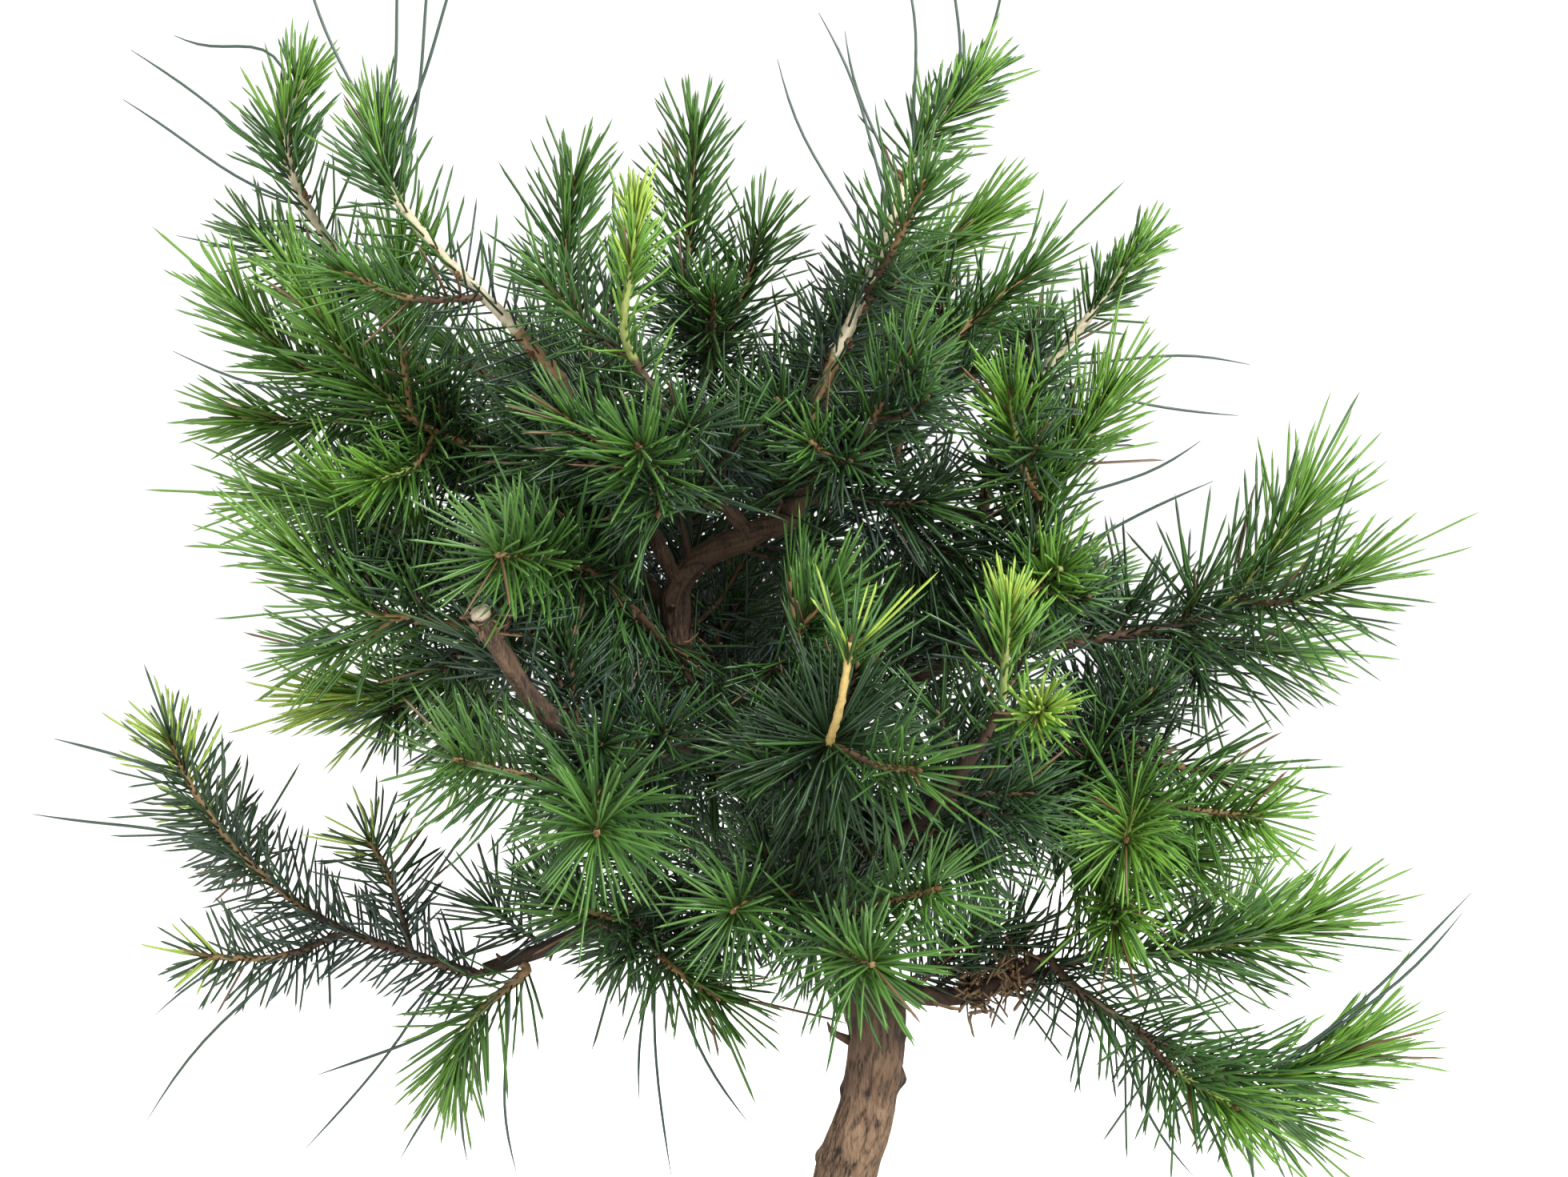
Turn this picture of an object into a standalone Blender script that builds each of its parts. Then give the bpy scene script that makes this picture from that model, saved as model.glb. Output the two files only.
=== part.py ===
"""Aleppo pine bonsai in a plain stoneware pot, in metres.

+Z is up, X runs to the right and Y away from the front of the tree. The origin is the middle of the pot's
flat underside. The trunk, each bough, each mass of needles, the soil and the pot are one closed solid each.
"""

from dataclasses import dataclass
from math import ceil, cos, pi, radians, sin, tau
from random import Random

import bmesh
import bpy
from mathutils import Quaternion, Vector
from mathutils.bvhtree import BVHTree
from mathutils.kdtree import KDTree

SEED = 8233
MM = 0.001
CLEAR = 0.3 * MM  # left between neighbouring solids

# Pot: a rounded rectangle that narrows to its foot, filled with soil
POT_LENGTH, POT_DEPTH, POT_HEIGHT = 0.250, 0.190, 0.076
POT_CORNER = 0.038
POT_FOOT_INSET = 0.020
CORNER_INSET_SHARE = 0.6  # how much a corner tightens as the outline moves in
POT_WALL, POT_FLOOR = 0.007, 0.009
LIP_WIDTH, LIP_HEIGHT, LIP_EDGE = 0.006, 0.011, 0.0015
DRAIN_RADIUS, DRAIN_X = 0.006, 0.055
GROUND_Z = 0.068  # soil level at the trunk
SOIL_EDGE_Z = 0.064
SOIL_TOP_RADIUS = 0.034
SOIL_STEPS = (0.12, 0.45, 1.0)  # shares of the way in from the wall to the level place

# Trunk: x, y, z of its middle, and its radius there, from the soil to the cut leader
TRUNK = (
    (0.000, 0.000, 0.068, 0.0225),
    (0.000, 0.000, 0.076, 0.0180),
    (0.002, 0.000, 0.088, 0.0145),
    (0.004, 0.000, 0.106, 0.0122),
    (0.010, 0.000, 0.131, 0.0108),
    (0.018, 0.000, 0.159, 0.0098),
    (0.021, 0.000, 0.180, 0.0099),
    (0.019, 0.000, 0.196, 0.0108),
    (0.011, 0.002, 0.214, 0.0095),
    (0.008, 0.005, 0.235, 0.0090),
    (0.006, 0.008, 0.259, 0.0085),
    (-0.006, 0.012, 0.280, 0.0078),
    (-0.027, 0.012, 0.294, 0.0070),
    (-0.044, 0.008, 0.304, 0.0062),
    (-0.049, 0.000, 0.325, 0.0052),
    (-0.048, -0.006, 0.342, 0.0047),
    (-0.038, -0.012, 0.353, 0.0043),
    (-0.021, -0.020, 0.361, 0.0041),
    (-0.008, -0.025, 0.369, 0.0038),
    (-0.004, -0.028, 0.395, 0.0029),
)
TRUNK_SIDES, TRUNK_RING_SPACING = 14, 0.0125
ROOTS, ROOT_RELIEF, ROOT_RISE = 5, 0.16, 0.026  # buttress roots: count, relief, height they fade over
BOUGH_SIDES, BOUGH_RING_SPACING = 6, 0.016

# Needled shoots: a three-sided core whose bands of small faces are drawn out into needles
CORE_SIDES = 3
STEM_ROOT_RADIUS, STEM_TIP_RADIUS = 0.0017, 0.0011
TWIG_ROOT_RADIUS, TWIG_TIP_RADIUS = 0.0013, 0.0010
BAND_RISE, BAND_SPACING = 0.0028, 0.0083
BARE_FOOT = 0.006
BUD_LENGTH = 0.004
BAND_TWIST = radians(37)
NEEDLE_FAN = radians(30)  # from the middle of a core face to each of its two needles
LEAN_FOOT, LEAN_MIDDLE, LEAN_TIP = radians(72), radians(58), radians(25)
LEAN_TURN = 0.72  # share of a shoot after which its needles close up towards the tip
NEEDLE_SPREAD, LENGTH_SPREAD = radians(9), 0.16
TIP_SHORTENING = 0.2  # how much shorter the needles are at a shoot's tip
SHORTENINGS = (1.0, 0.8, 0.62)  # tried in turn where a needle would leave its space
SPACE_STEP = 0.001

TWIG_SHARES = (0.34, 0.6, 0.16, 0.8)  # where side twigs leave a stem, in the order they are tried
TWIG_ANGLE = radians(52)
TWIG_LENGTH_SHARE, TWIG_LEAST, TWIG_MOST = 0.5, 0.026, 0.050
TWIG_ROOM = 0.013  # from a side twig to any other shoot or limb
TWIG_BEND, TWIG_RISE = 0.35, 0.2  # how much a side twig's outer half turns along the stem, and upwards
TWIG_TURNS, TWIG_TURN_SPREAD, TWIG_LENGTH_SPREAD = (-40, 0, 40), 12, 0.15  # degrees and a share
SUNK_SHARE = 0.55  # of its radius, at the foot of a twig inside its stem

BARK, CUT_WOOD = (0.115, 0.071, 0.042), (0.165, 0.110, 0.070)
STONEWARE, EARTH = (0.150, 0.078, 0.048), (0.030, 0.019, 0.012)
BARK_ROUGHNESS, NEEDLE_ROUGHNESS, STONEWARE_ROUGHNESS, EARTH_ROUGHNESS = 0.9, 0.55, 0.62, 0.95
SHARP_EDGE = radians(50)  # edges bent further than this are drawn sharp
DARK, GREEN, BRIGHT, YELLOW = (
    (0.013, 0.050, 0.022),
    (0.026, 0.104, 0.022),
    (0.065, 0.215, 0.026),
    (0.190, 0.330, 0.035),
)


@dataclass(frozen=True)
class Bough:
    """One tapering limb: the points its middle runs through, out of the trunk, and its radius at each end."""

    points: tuple
    root: float
    tip: float
    colour: tuple = BARK


BOUGHS = {
    "left_low": Bough(
        (
            (0.007, 0.005, 0.241),
            (-0.034, -0.008, 0.237),
            (-0.070, -0.012, 0.225),
            (-0.090, -0.014, 0.217),
            (-0.116, -0.016, 0.208),
        ),
        0.0036,
        0.0025,
    ),
    "right_low": Bough(
        ((0.017, 0.000, 0.204), (0.036, -0.008, 0.198), (0.056, -0.014, 0.200), (0.077, -0.018, 0.211)),
        0.0040,
        0.0026,
    ),
    "right_front": Bough(
        ((0.008, 0.006, 0.248), (0.026, -0.045, 0.259), (0.040, -0.075, 0.275), (0.052, -0.095, 0.296)),
        0.0031,
        0.0022,
    ),
    "right_mid": Bough(
        ((0.006, 0.008, 0.260), (0.046, 0.028, 0.262), (0.085, 0.022, 0.273), (0.111, 0.010, 0.278)),
        0.0032,
        0.0023,
    ),
    "right_high": Bough(
        ((-0.013, 0.012, 0.284), (0.020, 0.030, 0.299), (0.060, 0.025, 0.316), (0.091, 0.012, 0.320)),
        0.0032,
        0.0022,
    ),
    "upper_right": Bough(
        ((-0.006, -0.026, 0.373), (0.016, -0.012, 0.373), (0.037, 0.005, 0.368), (0.055, 0.012, 0.365)),
        0.0026,
        0.0020,
    ),
    "crest": Bough(
        ((-0.024, -0.018, 0.360), (-0.037, -0.045, 0.379), (-0.048, -0.066, 0.399)),
        0.0026,
        0.0020,
    ),
    "upper_left": Bough(
        ((-0.048, -0.006, 0.341), (-0.061, -0.025, 0.368), (-0.075, -0.038, 0.394), (-0.087, -0.042, 0.413)),
        0.0028,
        0.0021,
    ),
    "left_high": Bough(
        ((-0.049, -0.002, 0.330), (-0.080, 0.022, 0.360), (-0.114, 0.028, 0.388), (-0.135, 0.020, 0.408)),
        0.0030,
        0.0022,
    ),
    "left_mid": Bough(
        ((-0.045, 0.008, 0.306), (-0.079, 0.005, 0.321), (-0.106, -0.010, 0.330), (-0.123, -0.020, 0.329)),
        0.0032,
        0.0022,
    ),
    "cut_stub": Bough(
        (
            (-0.027, 0.012, 0.294),
            (-0.050, -0.045, 0.286),
            (-0.071, -0.075, 0.292),
            (-0.090, -0.090, 0.306),
            (-0.102, -0.098, 0.324),
            (-0.110, -0.104, 0.340),
        ),
        0.0042,
        0.0030,
        CUT_WOOD,
    ),
    "front_low": Bough(
        ((0.006, 0.006, 0.240), (-0.005, -0.040, 0.244), (-0.013, -0.070, 0.246)),
        0.0028,
        0.0021,
    ),
    "front_mid": Bough(
        ((0.001, 0.010, 0.268), (0.002, -0.050, 0.283), (0.003, -0.090, 0.294)),
        0.0027,
        0.0020,
    ),
    "back_low": Bough(
        ((0.007, 0.006, 0.236), (0.003, 0.060, 0.234), (-0.003, 0.105, 0.237)),
        0.0034,
        0.0023,
    ),
    "back_mid": Bough(
        ((-0.017, 0.012, 0.287), (-0.024, 0.060, 0.299), (-0.027, 0.110, 0.313)),
        0.0030,
        0.0022,
    ),
    "back_high": Bough(
        ((-0.048, 0.004, 0.317), (-0.045, 0.045, 0.352), (-0.036, 0.085, 0.386)),
        0.0030,
        0.0022,
    ),
}


@dataclass(frozen=True)
class Mass:
    """One mass of foliage.

    limb and share say where its stem leaves the tree, as a share of the limb's length. course is the points
    that the stem runs through from there. forks and reaching needles each start at a share of the stem.
    """

    limb: str
    share: float
    course: tuple
    needle: float = 0.028
    twigs: int = 1
    colour: tuple = GREEN
    forks: tuple = ()
    reaching: tuple = ()
    openness: float = 1.0


MASSES = {
    "left_sweep": Mass(
        "left_low",
        1,
        (
            (-0.135, -0.018, 0.212),
            (-0.168, -0.014, 0.223),
            (-0.194, -0.008, 0.240),
            (-0.217, 0.000, 0.265),
            (-0.229, 0.004, 0.289),
        ),
        needle=0.022,
        twigs=2,
        colour=DARK,
        forks=((0.18, ((-0.149, -0.014, 0.240), (-0.157, -0.012, 0.254))),),
        reaching=(
            (0.70, (-0.275, -0.004, 0.261)),
            (0.88, (-0.268, 0.001, 0.287)),
            (0.46, (-0.235, -0.011, 0.154)),
            (0.30, (-0.179, -0.017, 0.145)),
        ),
    ),
    "left_hang": Mass(
        "left_low",
        0.90,
        ((-0.117, -0.024, 0.195), (-0.123, -0.024, 0.185), (-0.127, -0.022, 0.173)),
        needle=0.026,
        colour=BRIGHT,
        reaching=((0.55, (-0.145, -0.022, 0.143)), (0.45, (-0.105, -0.021, 0.138))),
    ),
    "low_front_left": Mass(
        "left_low",
        0.48,
        ((-0.056, -0.045, 0.222), (-0.047, -0.060, 0.215), (-0.033, -0.068, 0.207)),
        reaching=((0.50, (-0.050, -0.054, 0.144)), (0.65, (-0.024, -0.060, 0.164))),
    ),
    "whorl_front_left": Mass(
        "cut_stub", 0.45, ((-0.071, -0.095, 0.281), (-0.070, -0.150, 0.274)), needle=0.032, colour=DARK
    ),
    "low_front": Mass(
        "front_low",
        1,
        ((-0.004, -0.085, 0.242), (0.006, -0.115, 0.232), (0.016, -0.150, 0.233)),
        forks=((0.15, ((-0.021, -0.095, 0.246), (-0.028, -0.120, 0.245))),),
        colour=BRIGHT,
    ),
    "front_heart": Mass(
        "front_mid",
        1,
        ((0.003, -0.125, 0.301), (0.006, -0.142, 0.314), (0.009, -0.150, 0.334)),
        needle=0.033,
        colour=DARK,
    ),
    "front_small": Mass(
        "front_mid", 0.55, ((-0.006, -0.055, 0.313), (-0.007, -0.072, 0.329), (0.004, -0.082, 0.344))
    ),
    "right_candle": Mass(
        "right_front",
        1,
        ((0.058, -0.105, 0.310), (0.059, -0.112, 0.326), (0.060, -0.115, 0.344)),
        forks=((0.25, ((0.064, -0.125, 0.307), (0.068, -0.160, 0.314))),),
        colour=BRIGHT,
    ),
    "right_star": Mass("right_mid", 0.86, ((0.108, -0.020, 0.268), (0.102, -0.070, 0.261)), colour=BRIGHT),
    "right_drop": Mass(
        "right_mid",
        0.72,
        ((0.096, -0.008, 0.248), (0.101, -0.022, 0.236), (0.101, -0.045, 0.229)),
        colour=BRIGHT,
    ),
    "right_brush": Mass("right_mid", 1, ((0.121, 0.005, 0.278), (0.142, 0.000, 0.274))),
    "right_low_upper": Mass(
        "right_low",
        0.82,
        ((0.100, -0.006, 0.212), (0.124, 0.000, 0.211), (0.155, 0.005, 0.216), (0.176, 0.005, 0.224)),
        needle=0.032,
        twigs=2,
    ),
    "right_low_tip": Mass(
        "right_low",
        1,
        (
            (0.089, -0.025, 0.203),
            (0.106, -0.028, 0.192),
            (0.135, -0.030, 0.176),
            (0.160, -0.028, 0.173),
            (0.185, -0.025, 0.182),
        ),
        needle=0.034,
        twigs=2,
        reaching=((0.84, (0.225, -0.028, 0.237)), (0.40, (0.130, -0.028, 0.138))),
    ),
    "right_back": Mass(
        "right_mid", 0.60, ((0.100, 0.050, 0.286), (0.121, 0.060, 0.298), (0.136, 0.062, 0.310))
    ),
    "right_wing": Mass(
        "right_high",
        1,
        ((0.118, 0.008, 0.325), (0.140, 0.002, 0.332), (0.154, 0.000, 0.346), (0.168, 0.000, 0.367)),
        needle=0.036,
        twigs=2,
        reaching=((0.30, (0.174, 0.004, 0.301)),),
    ),
    "upper_right_green": Mass(
        "right_high",
        0.72,
        ((0.073, -0.005, 0.345), (0.079, -0.012, 0.376), (0.090, -0.015, 0.392), (0.101, -0.015, 0.409)),
        twigs=2,
        reaching=((0.62, (0.132, -0.014, 0.392)), (0.45, (0.137, -0.010, 0.378))),
    ),
    "right_spire": Mass(
        "upper_right",
        1,
        ((0.061, 0.018, 0.380), (0.070, 0.020, 0.402), (0.093, 0.020, 0.431), (0.115, 0.020, 0.460)),
        needle=0.020,
        twigs=1,
        colour=DARK,
        reaching=((0.60, (0.153, 0.020, 0.418)), (0.54, (0.149, 0.020, 0.400))),
    ),
    "inner_right": Mass(
        "upper_right",
        0.62,
        ((0.028, -0.002, 0.389), (0.036, 0.003, 0.407), (0.050, 0.008, 0.429), (0.075, 0.008, 0.451)),
        needle=0.025,
    ),
    "bud_spire": Mass(
        "back_high",
        0.80,
        ((-0.010, 0.060, 0.400), (0.012, 0.055, 0.430), (0.036, 0.050, 0.452), (0.060, 0.050, 0.471)),
        needle=0.025,
    ),
    "inner_green": Mass(
        "upper_right",
        0.34,
        ((0.014, -0.032, 0.387), (0.019, -0.045, 0.401), (0.031, -0.050, 0.426)),
        needle=0.025,
    ),
    "top_right_spire": Mass(
        "trunk",
        1,
        (
            (0.004, -0.032, 0.417),
            (0.011, -0.032, 0.433),
            (0.025, -0.025, 0.467),
            (0.035, -0.015, 0.493),
            (0.055, -0.005, 0.517),
        ),
        needle=0.026,
        twigs=1,
        openness=1.5,
        reaching=(
            (0.50, (-0.014, -0.026, 0.522)),
            (0.60, (0.000, -0.022, 0.538)),
            (0.76, (0.029, -0.015, 0.556)),
            (0.92, (0.045, -0.008, 0.560)),
        ),
    ),
    "top_mid": Mass(
        "back_high",
        1,
        ((-0.040, 0.066, 0.418), (-0.046, 0.060, 0.446), (-0.046, 0.060, 0.477), (-0.044, 0.058, 0.502)),
        needle=0.026,
        forks=((0.30, ((-0.028, 0.065, 0.440), (-0.020, 0.060, 0.466))),),
        colour=DARK,
    ),
    "top_left": Mass(
        "upper_left",
        0.78,
        ((-0.080, 0.005, 0.425), (-0.089, 0.022, 0.456), (-0.086, 0.028, 0.485)),
        needle=0.026,
    ),
    "front_candle": Mass(
        "crest",
        1,
        ((-0.060, -0.078, 0.419), (-0.064, -0.084, 0.431), (-0.061, -0.088, 0.454), (-0.060, -0.088, 0.472)),
        needle=0.022,
        colour=YELLOW,
    ),
    "upper_left_spire": Mass(
        "upper_left",
        1,
        ((-0.104, -0.046, 0.433), (-0.130, -0.046, 0.459), (-0.145, -0.040, 0.480), (-0.149, -0.036, 0.501)),
        needle=0.026,
        openness=1.3,
        reaching=((0.84, (-0.121, -0.038, 0.554)), (0.92, (-0.173, -0.037, 0.552))),
    ),
    "far_left_spire": Mass(
        "left_high",
        1,
        (
            (-0.152, 0.005, 0.435),
            (-0.168, 0.000, 0.458),
            (-0.181, 0.000, 0.480),
            (-0.185, 0.000, 0.499),
            (-0.179, 0.000, 0.517),
        ),
        needle=0.024,
        twigs=1,
        openness=1.3,
        reaching=(
            (0.72, (-0.238, 0.000, 0.527)),
            (0.64, (-0.241, 0.000, 0.510)),
            (0.45, (-0.223, 0.000, 0.463)),
        ),
    ),
    "left_fan": Mass(
        "left_high",
        0.88,
        ((-0.154, 0.006, 0.406), (-0.173, 0.000, 0.414), (-0.191, -0.005, 0.428), (-0.202, -0.008, 0.441)),
        needle=0.026,
        colour=BRIGHT,
    ),
    "left_upright": Mass(
        "left_high",
        0.74,
        ((-0.138, -0.010, 0.398), (-0.160, -0.020, 0.420), (-0.170, -0.024, 0.435), (-0.178, -0.026, 0.450)),
        needle=0.026,
        colour=BRIGHT,
        forks=((0.45, ((-0.143, -0.030, 0.436), (-0.142, -0.032, 0.454))),),
        reaching=((0.72, (-0.221, -0.022, 0.423)),),
    ),
    "left_bright_high": Mass(
        "left_mid",
        0.82,
        ((-0.135, 0.002, 0.353), (-0.155, 0.010, 0.366), (-0.175, 0.012, 0.370), (-0.191, 0.012, 0.372)),
        needle=0.030,
        twigs=2,
        colour=BRIGHT,
    ),
    "left_bright_low": Mass(
        "left_mid",
        1,
        ((-0.138, -0.024, 0.331), (-0.154, -0.025, 0.334), (-0.170, -0.026, 0.348), (-0.182, -0.026, 0.356)),
        needle=0.030,
        colour=BRIGHT,
    ),
    "left_star": Mass(
        "trunk",
        0.74,
        ((-0.072, -0.060, 0.347), (-0.088, -0.085, 0.355), (-0.103, -0.118, 0.359)),
        needle=0.030,
    ),
    "left_pale": Mass(
        "left_mid",
        0.66,
        ((-0.120, 0.008, 0.308), (-0.138, 0.008, 0.304), (-0.155, 0.006, 0.302), (-0.172, 0.005, 0.301)),
        colour=YELLOW,
    ),
    "heart_star": Mass("crest", 0.55, ((-0.053, -0.086, 0.383), (-0.058, -0.122, 0.394))),
    "back_low_left": Mass(
        "back_low", 0.80, ((-0.037, 0.135, 0.228), (-0.092, 0.150, 0.238)), twigs=2, colour=DARK
    ),
    "back_low_right": Mass(
        "back_low", 1, ((0.030, 0.140, 0.232), (0.118, 0.140, 0.246)), twigs=2, colour=DARK
    ),
    "back_mid_left": Mass("back_mid", 0.80, ((-0.080, 0.130, 0.318), (-0.146, 0.124, 0.343)), twigs=3),
    "back_mid_right": Mass("back_mid", 0.62, ((0.026, 0.115, 0.312), (0.104, 0.126, 0.334)), twigs=3),
    "back_high_left": Mass(
        "back_high", 0.62, ((-0.064, 0.078, 0.372), (-0.096, 0.104, 0.393), (-0.140, 0.108, 0.424)), twigs=2
    ),
    "back_high_right": Mass("back_high", 0.90, ((0.006, 0.118, 0.403), (0.068, 0.122, 0.434)), twigs=2),
    "back_centre": Mass("back_mid", 1, ((-0.029, 0.160, 0.321), (-0.028, 0.212, 0.337)), twigs=2),
}


class Course:
    """A smooth line through a few points, read by the length run along it."""

    STEPS = 12  # straight pieces between two of the points

    def __init__(self, points):
        given = [Vector(point) for point in points]
        knots = [2 * given[0] - given[1], *given, 2 * given[-1] - given[-2]]
        self.points = [given[0]]
        for first, start, end, last in zip(knots, knots[1:], knots[2:], knots[3:]):
            self.points += [
                between(first, start, end, last, step / self.STEPS) for step in range(1, self.STEPS + 1)
            ]
        self.runs = [0.0]
        for start, end in zip(self.points, self.points[1:]):
            self.runs.append(self.runs[-1] + (end - start).length)
        self.length = self.runs[-1]
        self.first_heading = (given[1] - given[0]).normalized()
        self.last_heading = (given[-1] - given[-2]).normalized()

    def piece(self, run):
        """The straight piece that a run falls in, and the share of it that is passed."""
        index = next((i for i, end in enumerate(self.runs[1:]) if end >= run), len(self.runs) - 2)
        return index, (run - self.runs[index]) / (self.runs[index + 1] - self.runs[index])

    def at(self, run):
        index, share = self.piece(run)
        return self.points[index].lerp(self.points[index + 1], share)

    def heading(self, run):
        if run <= 0:
            return self.first_heading
        if run >= self.length:
            return self.last_heading
        step = min(SPACE_STEP, run, self.length - run)
        return (self.at(run + step) - self.at(run - step)).normalized()

    def marks(self, spacing):
        """Runs from the start to the end, evenly spaced at no more than the spacing."""
        count = ceil(self.length / spacing)
        return [self.length * index / count for index in range(count + 1)]


class Limb:
    """The trunk or a bough: its course and its radius along it."""

    def __init__(self, points, radii):
        self.course = Course(points)
        self.radii = radii
        self.stops = self.course.runs[:: Course.STEPS] if len(radii) > 2 else [0, self.course.length]

    def radius(self, run):
        for start, end, first, last in zip(self.stops, self.stops[1:], self.radii, self.radii[1:]):
            if run <= end:
                return first + (last - first) * (run - start) / (end - start)
        return self.radii[-1]


@dataclass
class Shoot:
    """A stem, a fork of one or a side twig: what carries needles."""

    course: Course
    root: float
    tip: float
    needle: float
    openness: float = 1.0
    reaching: tuple = ()
    sunk: bool = True

    def radius(self, run):
        return self.root + (self.tip - self.root) * run / self.course.length


def between(first, start, end, last, share):
    """A point on the smooth curve from start to end, whose neighbours are first and last."""
    square, cube = share * share, share * share * share
    return (
        start * 2
        + (end - first) * share
        + (first * 2 - start * 5 + end * 4 - last) * square
        + (start * 3 - first - end * 3 + last) * cube
    ) / 2


def tree_of(points):
    """A search tree over the points."""
    tree = KDTree(len(points))
    for index, point in enumerate(points):
        tree.insert(point, index)
    tree.balance()
    return tree


def frames_along(course, runs):
    """Place, heading and a sideways vector that doesn't spin, at each run."""
    side = course.heading(runs[0]).orthogonal().normalized()
    frames = []
    for run in runs:
        heading = course.heading(run)
        side = (side - side.project(heading)).normalized()
        frames.append((course.at(run), heading, side))
    return frames


def ring(frame, radius_at, sides, turn=0.0):
    """Points round a frame. radius_at gives the radius at an angle."""
    place, heading, side = frame
    angles = [turn + tau * index / sides for index in range(sides)]
    return [place + Quaternion(heading, angle) @ side * radius_at(angle) for angle in angles]


def loft(rings):
    """A closed mesh through rings of equal count, capped at both ends."""
    work = bmesh.new()
    loops = [[work.verts.new(point) for point in loop] for loop in rings]
    for lower, upper in zip(loops, loops[1:]):
        for index, corner in enumerate(lower):
            following = (index + 1) % len(lower)
            work.faces.new((corner, lower[following], upper[following], upper[index]))
    work.faces.new(reversed(loops[0]))
    work.faces.new(loops[-1])
    return work


def finish(name, colour, roughness):
    """A plain material of one colour."""
    material = bpy.data.materials.new(name)
    material.use_nodes = True
    shader = material.node_tree.nodes["Principled BSDF"]
    shader.inputs["Base Color"].default_value = (*colour, 1)
    shader.inputs["Roughness"].default_value = roughness
    shader.inputs["Metallic"].default_value = 0
    return material


def add(name, work, colour=None, roughness=1.0, smooth_below=None, collection=None):
    """An object made from an edit mesh, which it uses up."""
    bmesh.ops.triangulate(work, faces=work.faces[:])
    mesh = bpy.data.meshes.new(name)
    work.to_mesh(mesh)
    work.free()
    if smooth_below:
        mesh.shade_smooth()
        mesh.set_sharp_from_angle(angle=smooth_below)
    obj = bpy.data.objects.new(name, mesh)
    if colour:
        mesh.materials.append(finish(f"{name}_finish", colour, roughness))
    (collection or bpy.context.scene.collection).objects.link(obj)
    return obj


def subtract(obj, cutter):
    """Cuts a hidden guide solid out of an object."""
    cutter.hide_render = True
    cutter.display_type = "WIRE"
    cut = obj.modifiers.new(f"clear_of_{cutter.name}", "BOOLEAN")
    cut.operation = "DIFFERENCE"
    cut.object = cutter


def rounded_outline(half_length, half_depth, corner, z, arc_points=5):
    """A level rectangle with round corners."""
    points = []
    for quarter, (right, away) in enumerate(((1, 1), (-1, 1), (-1, -1), (1, -1))):
        centre = Vector((right * (half_length - corner), away * (half_depth - corner), z))
        for step in range(arc_points):
            angle = (quarter + step / (arc_points - 1)) * pi / 2
            points.append(centre + corner * Vector((cos(angle), sin(angle), 0)))
    return points


def pot_outline(z, inset):
    """The pot's outline at a height, moved in from its outer wall."""
    inset += POT_FOOT_INSET * (1 - z / POT_HEIGHT)
    corner = POT_CORNER - CORNER_INSET_SHARE * inset
    return rounded_outline(POT_LENGTH / 2 - inset, POT_DEPTH / 2 - inset, corner, z)


def add_pot():
    lip_under = POT_HEIGHT - LIP_HEIGHT
    wall = LIP_WIDTH + POT_WALL
    pot = loft(
        [
            pot_outline(0, LIP_WIDTH + LIP_EDGE),
            pot_outline(LIP_EDGE, LIP_WIDTH),
            pot_outline(lip_under, LIP_WIDTH),
            pot_outline(lip_under + LIP_EDGE, LIP_EDGE / 2),
            pot_outline(lip_under + 2 * LIP_EDGE, 0),
            pot_outline(POT_HEIGHT - LIP_EDGE, 0),
            pot_outline(POT_HEIGHT, LIP_EDGE),
            pot_outline(POT_HEIGHT, wall - LIP_EDGE),
            pot_outline(POT_HEIGHT - LIP_EDGE, wall),
            pot_outline(POT_FLOOR, wall),
        ]
    )
    pot = add("pot", pot, STONEWARE, STONEWARE_ROUGHNESS, smooth_below=SHARP_EDGE)
    for number, x in enumerate((-DRAIN_X, DRAIN_X)):
        drain = bmesh.new()
        bmesh.ops.create_cone(
            drain, cap_ends=True, segments=12, radius1=DRAIN_RADIUS, radius2=DRAIN_RADIUS, depth=4 * POT_FLOOR
        )
        bmesh.ops.translate(drain, verts=drain.verts[:], vec=(x, 0, 0))
        subtract(pot, add(f"drain_{number}", drain))


def add_soil():
    """Soil that fills the pot and rises gently to a level place under the trunk."""
    wall = LIP_WIDTH + POT_WALL + CLEAR
    top = GROUND_Z - CLEAR
    loops = [pot_outline(POT_FLOOR + CLEAR, wall), pot_outline(SOIL_EDGE_Z, wall)]
    for share in SOIL_STEPS:
        edge = wall + POT_FOOT_INSET * (1 - SOIL_EDGE_Z / POT_HEIGHT)
        half_length, half_depth = (
            (1 - share) * (side / 2 - edge) + share * SOIL_TOP_RADIUS for side in (POT_LENGTH, POT_DEPTH)
        )
        corner = (1 - share) * (POT_CORNER - CORNER_INSET_SHARE * edge) + share * SOIL_TOP_RADIUS
        rise = sin(share * pi / 2)
        z = SOIL_EDGE_Z + rise * (top - SOIL_EDGE_Z)
        loops.append(rounded_outline(half_length, half_depth, corner, z))
    add("soil", loft(loops), EARTH, EARTH_ROUGHNESS, smooth_below=SHARP_EDGE)


def trunk_rings(trunk, grown=0.0):
    """The trunk's rings, with buttress roots that fade as they rise. grown adds to every radius."""
    runs = trunk.course.marks(TRUNK_RING_SPACING)
    rings = []
    for run, frame in zip(runs, frames_along(trunk.course, runs)):
        relief, radius = ROOT_RELIEF * max(0, 1 - run / ROOT_RISE), trunk.radius(run)
        rings.append(
            ring(frame, lambda angle: radius * (1 + relief * cos(ROOTS * angle)) + grown, TRUNK_SIDES)
        )
    return rings


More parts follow.
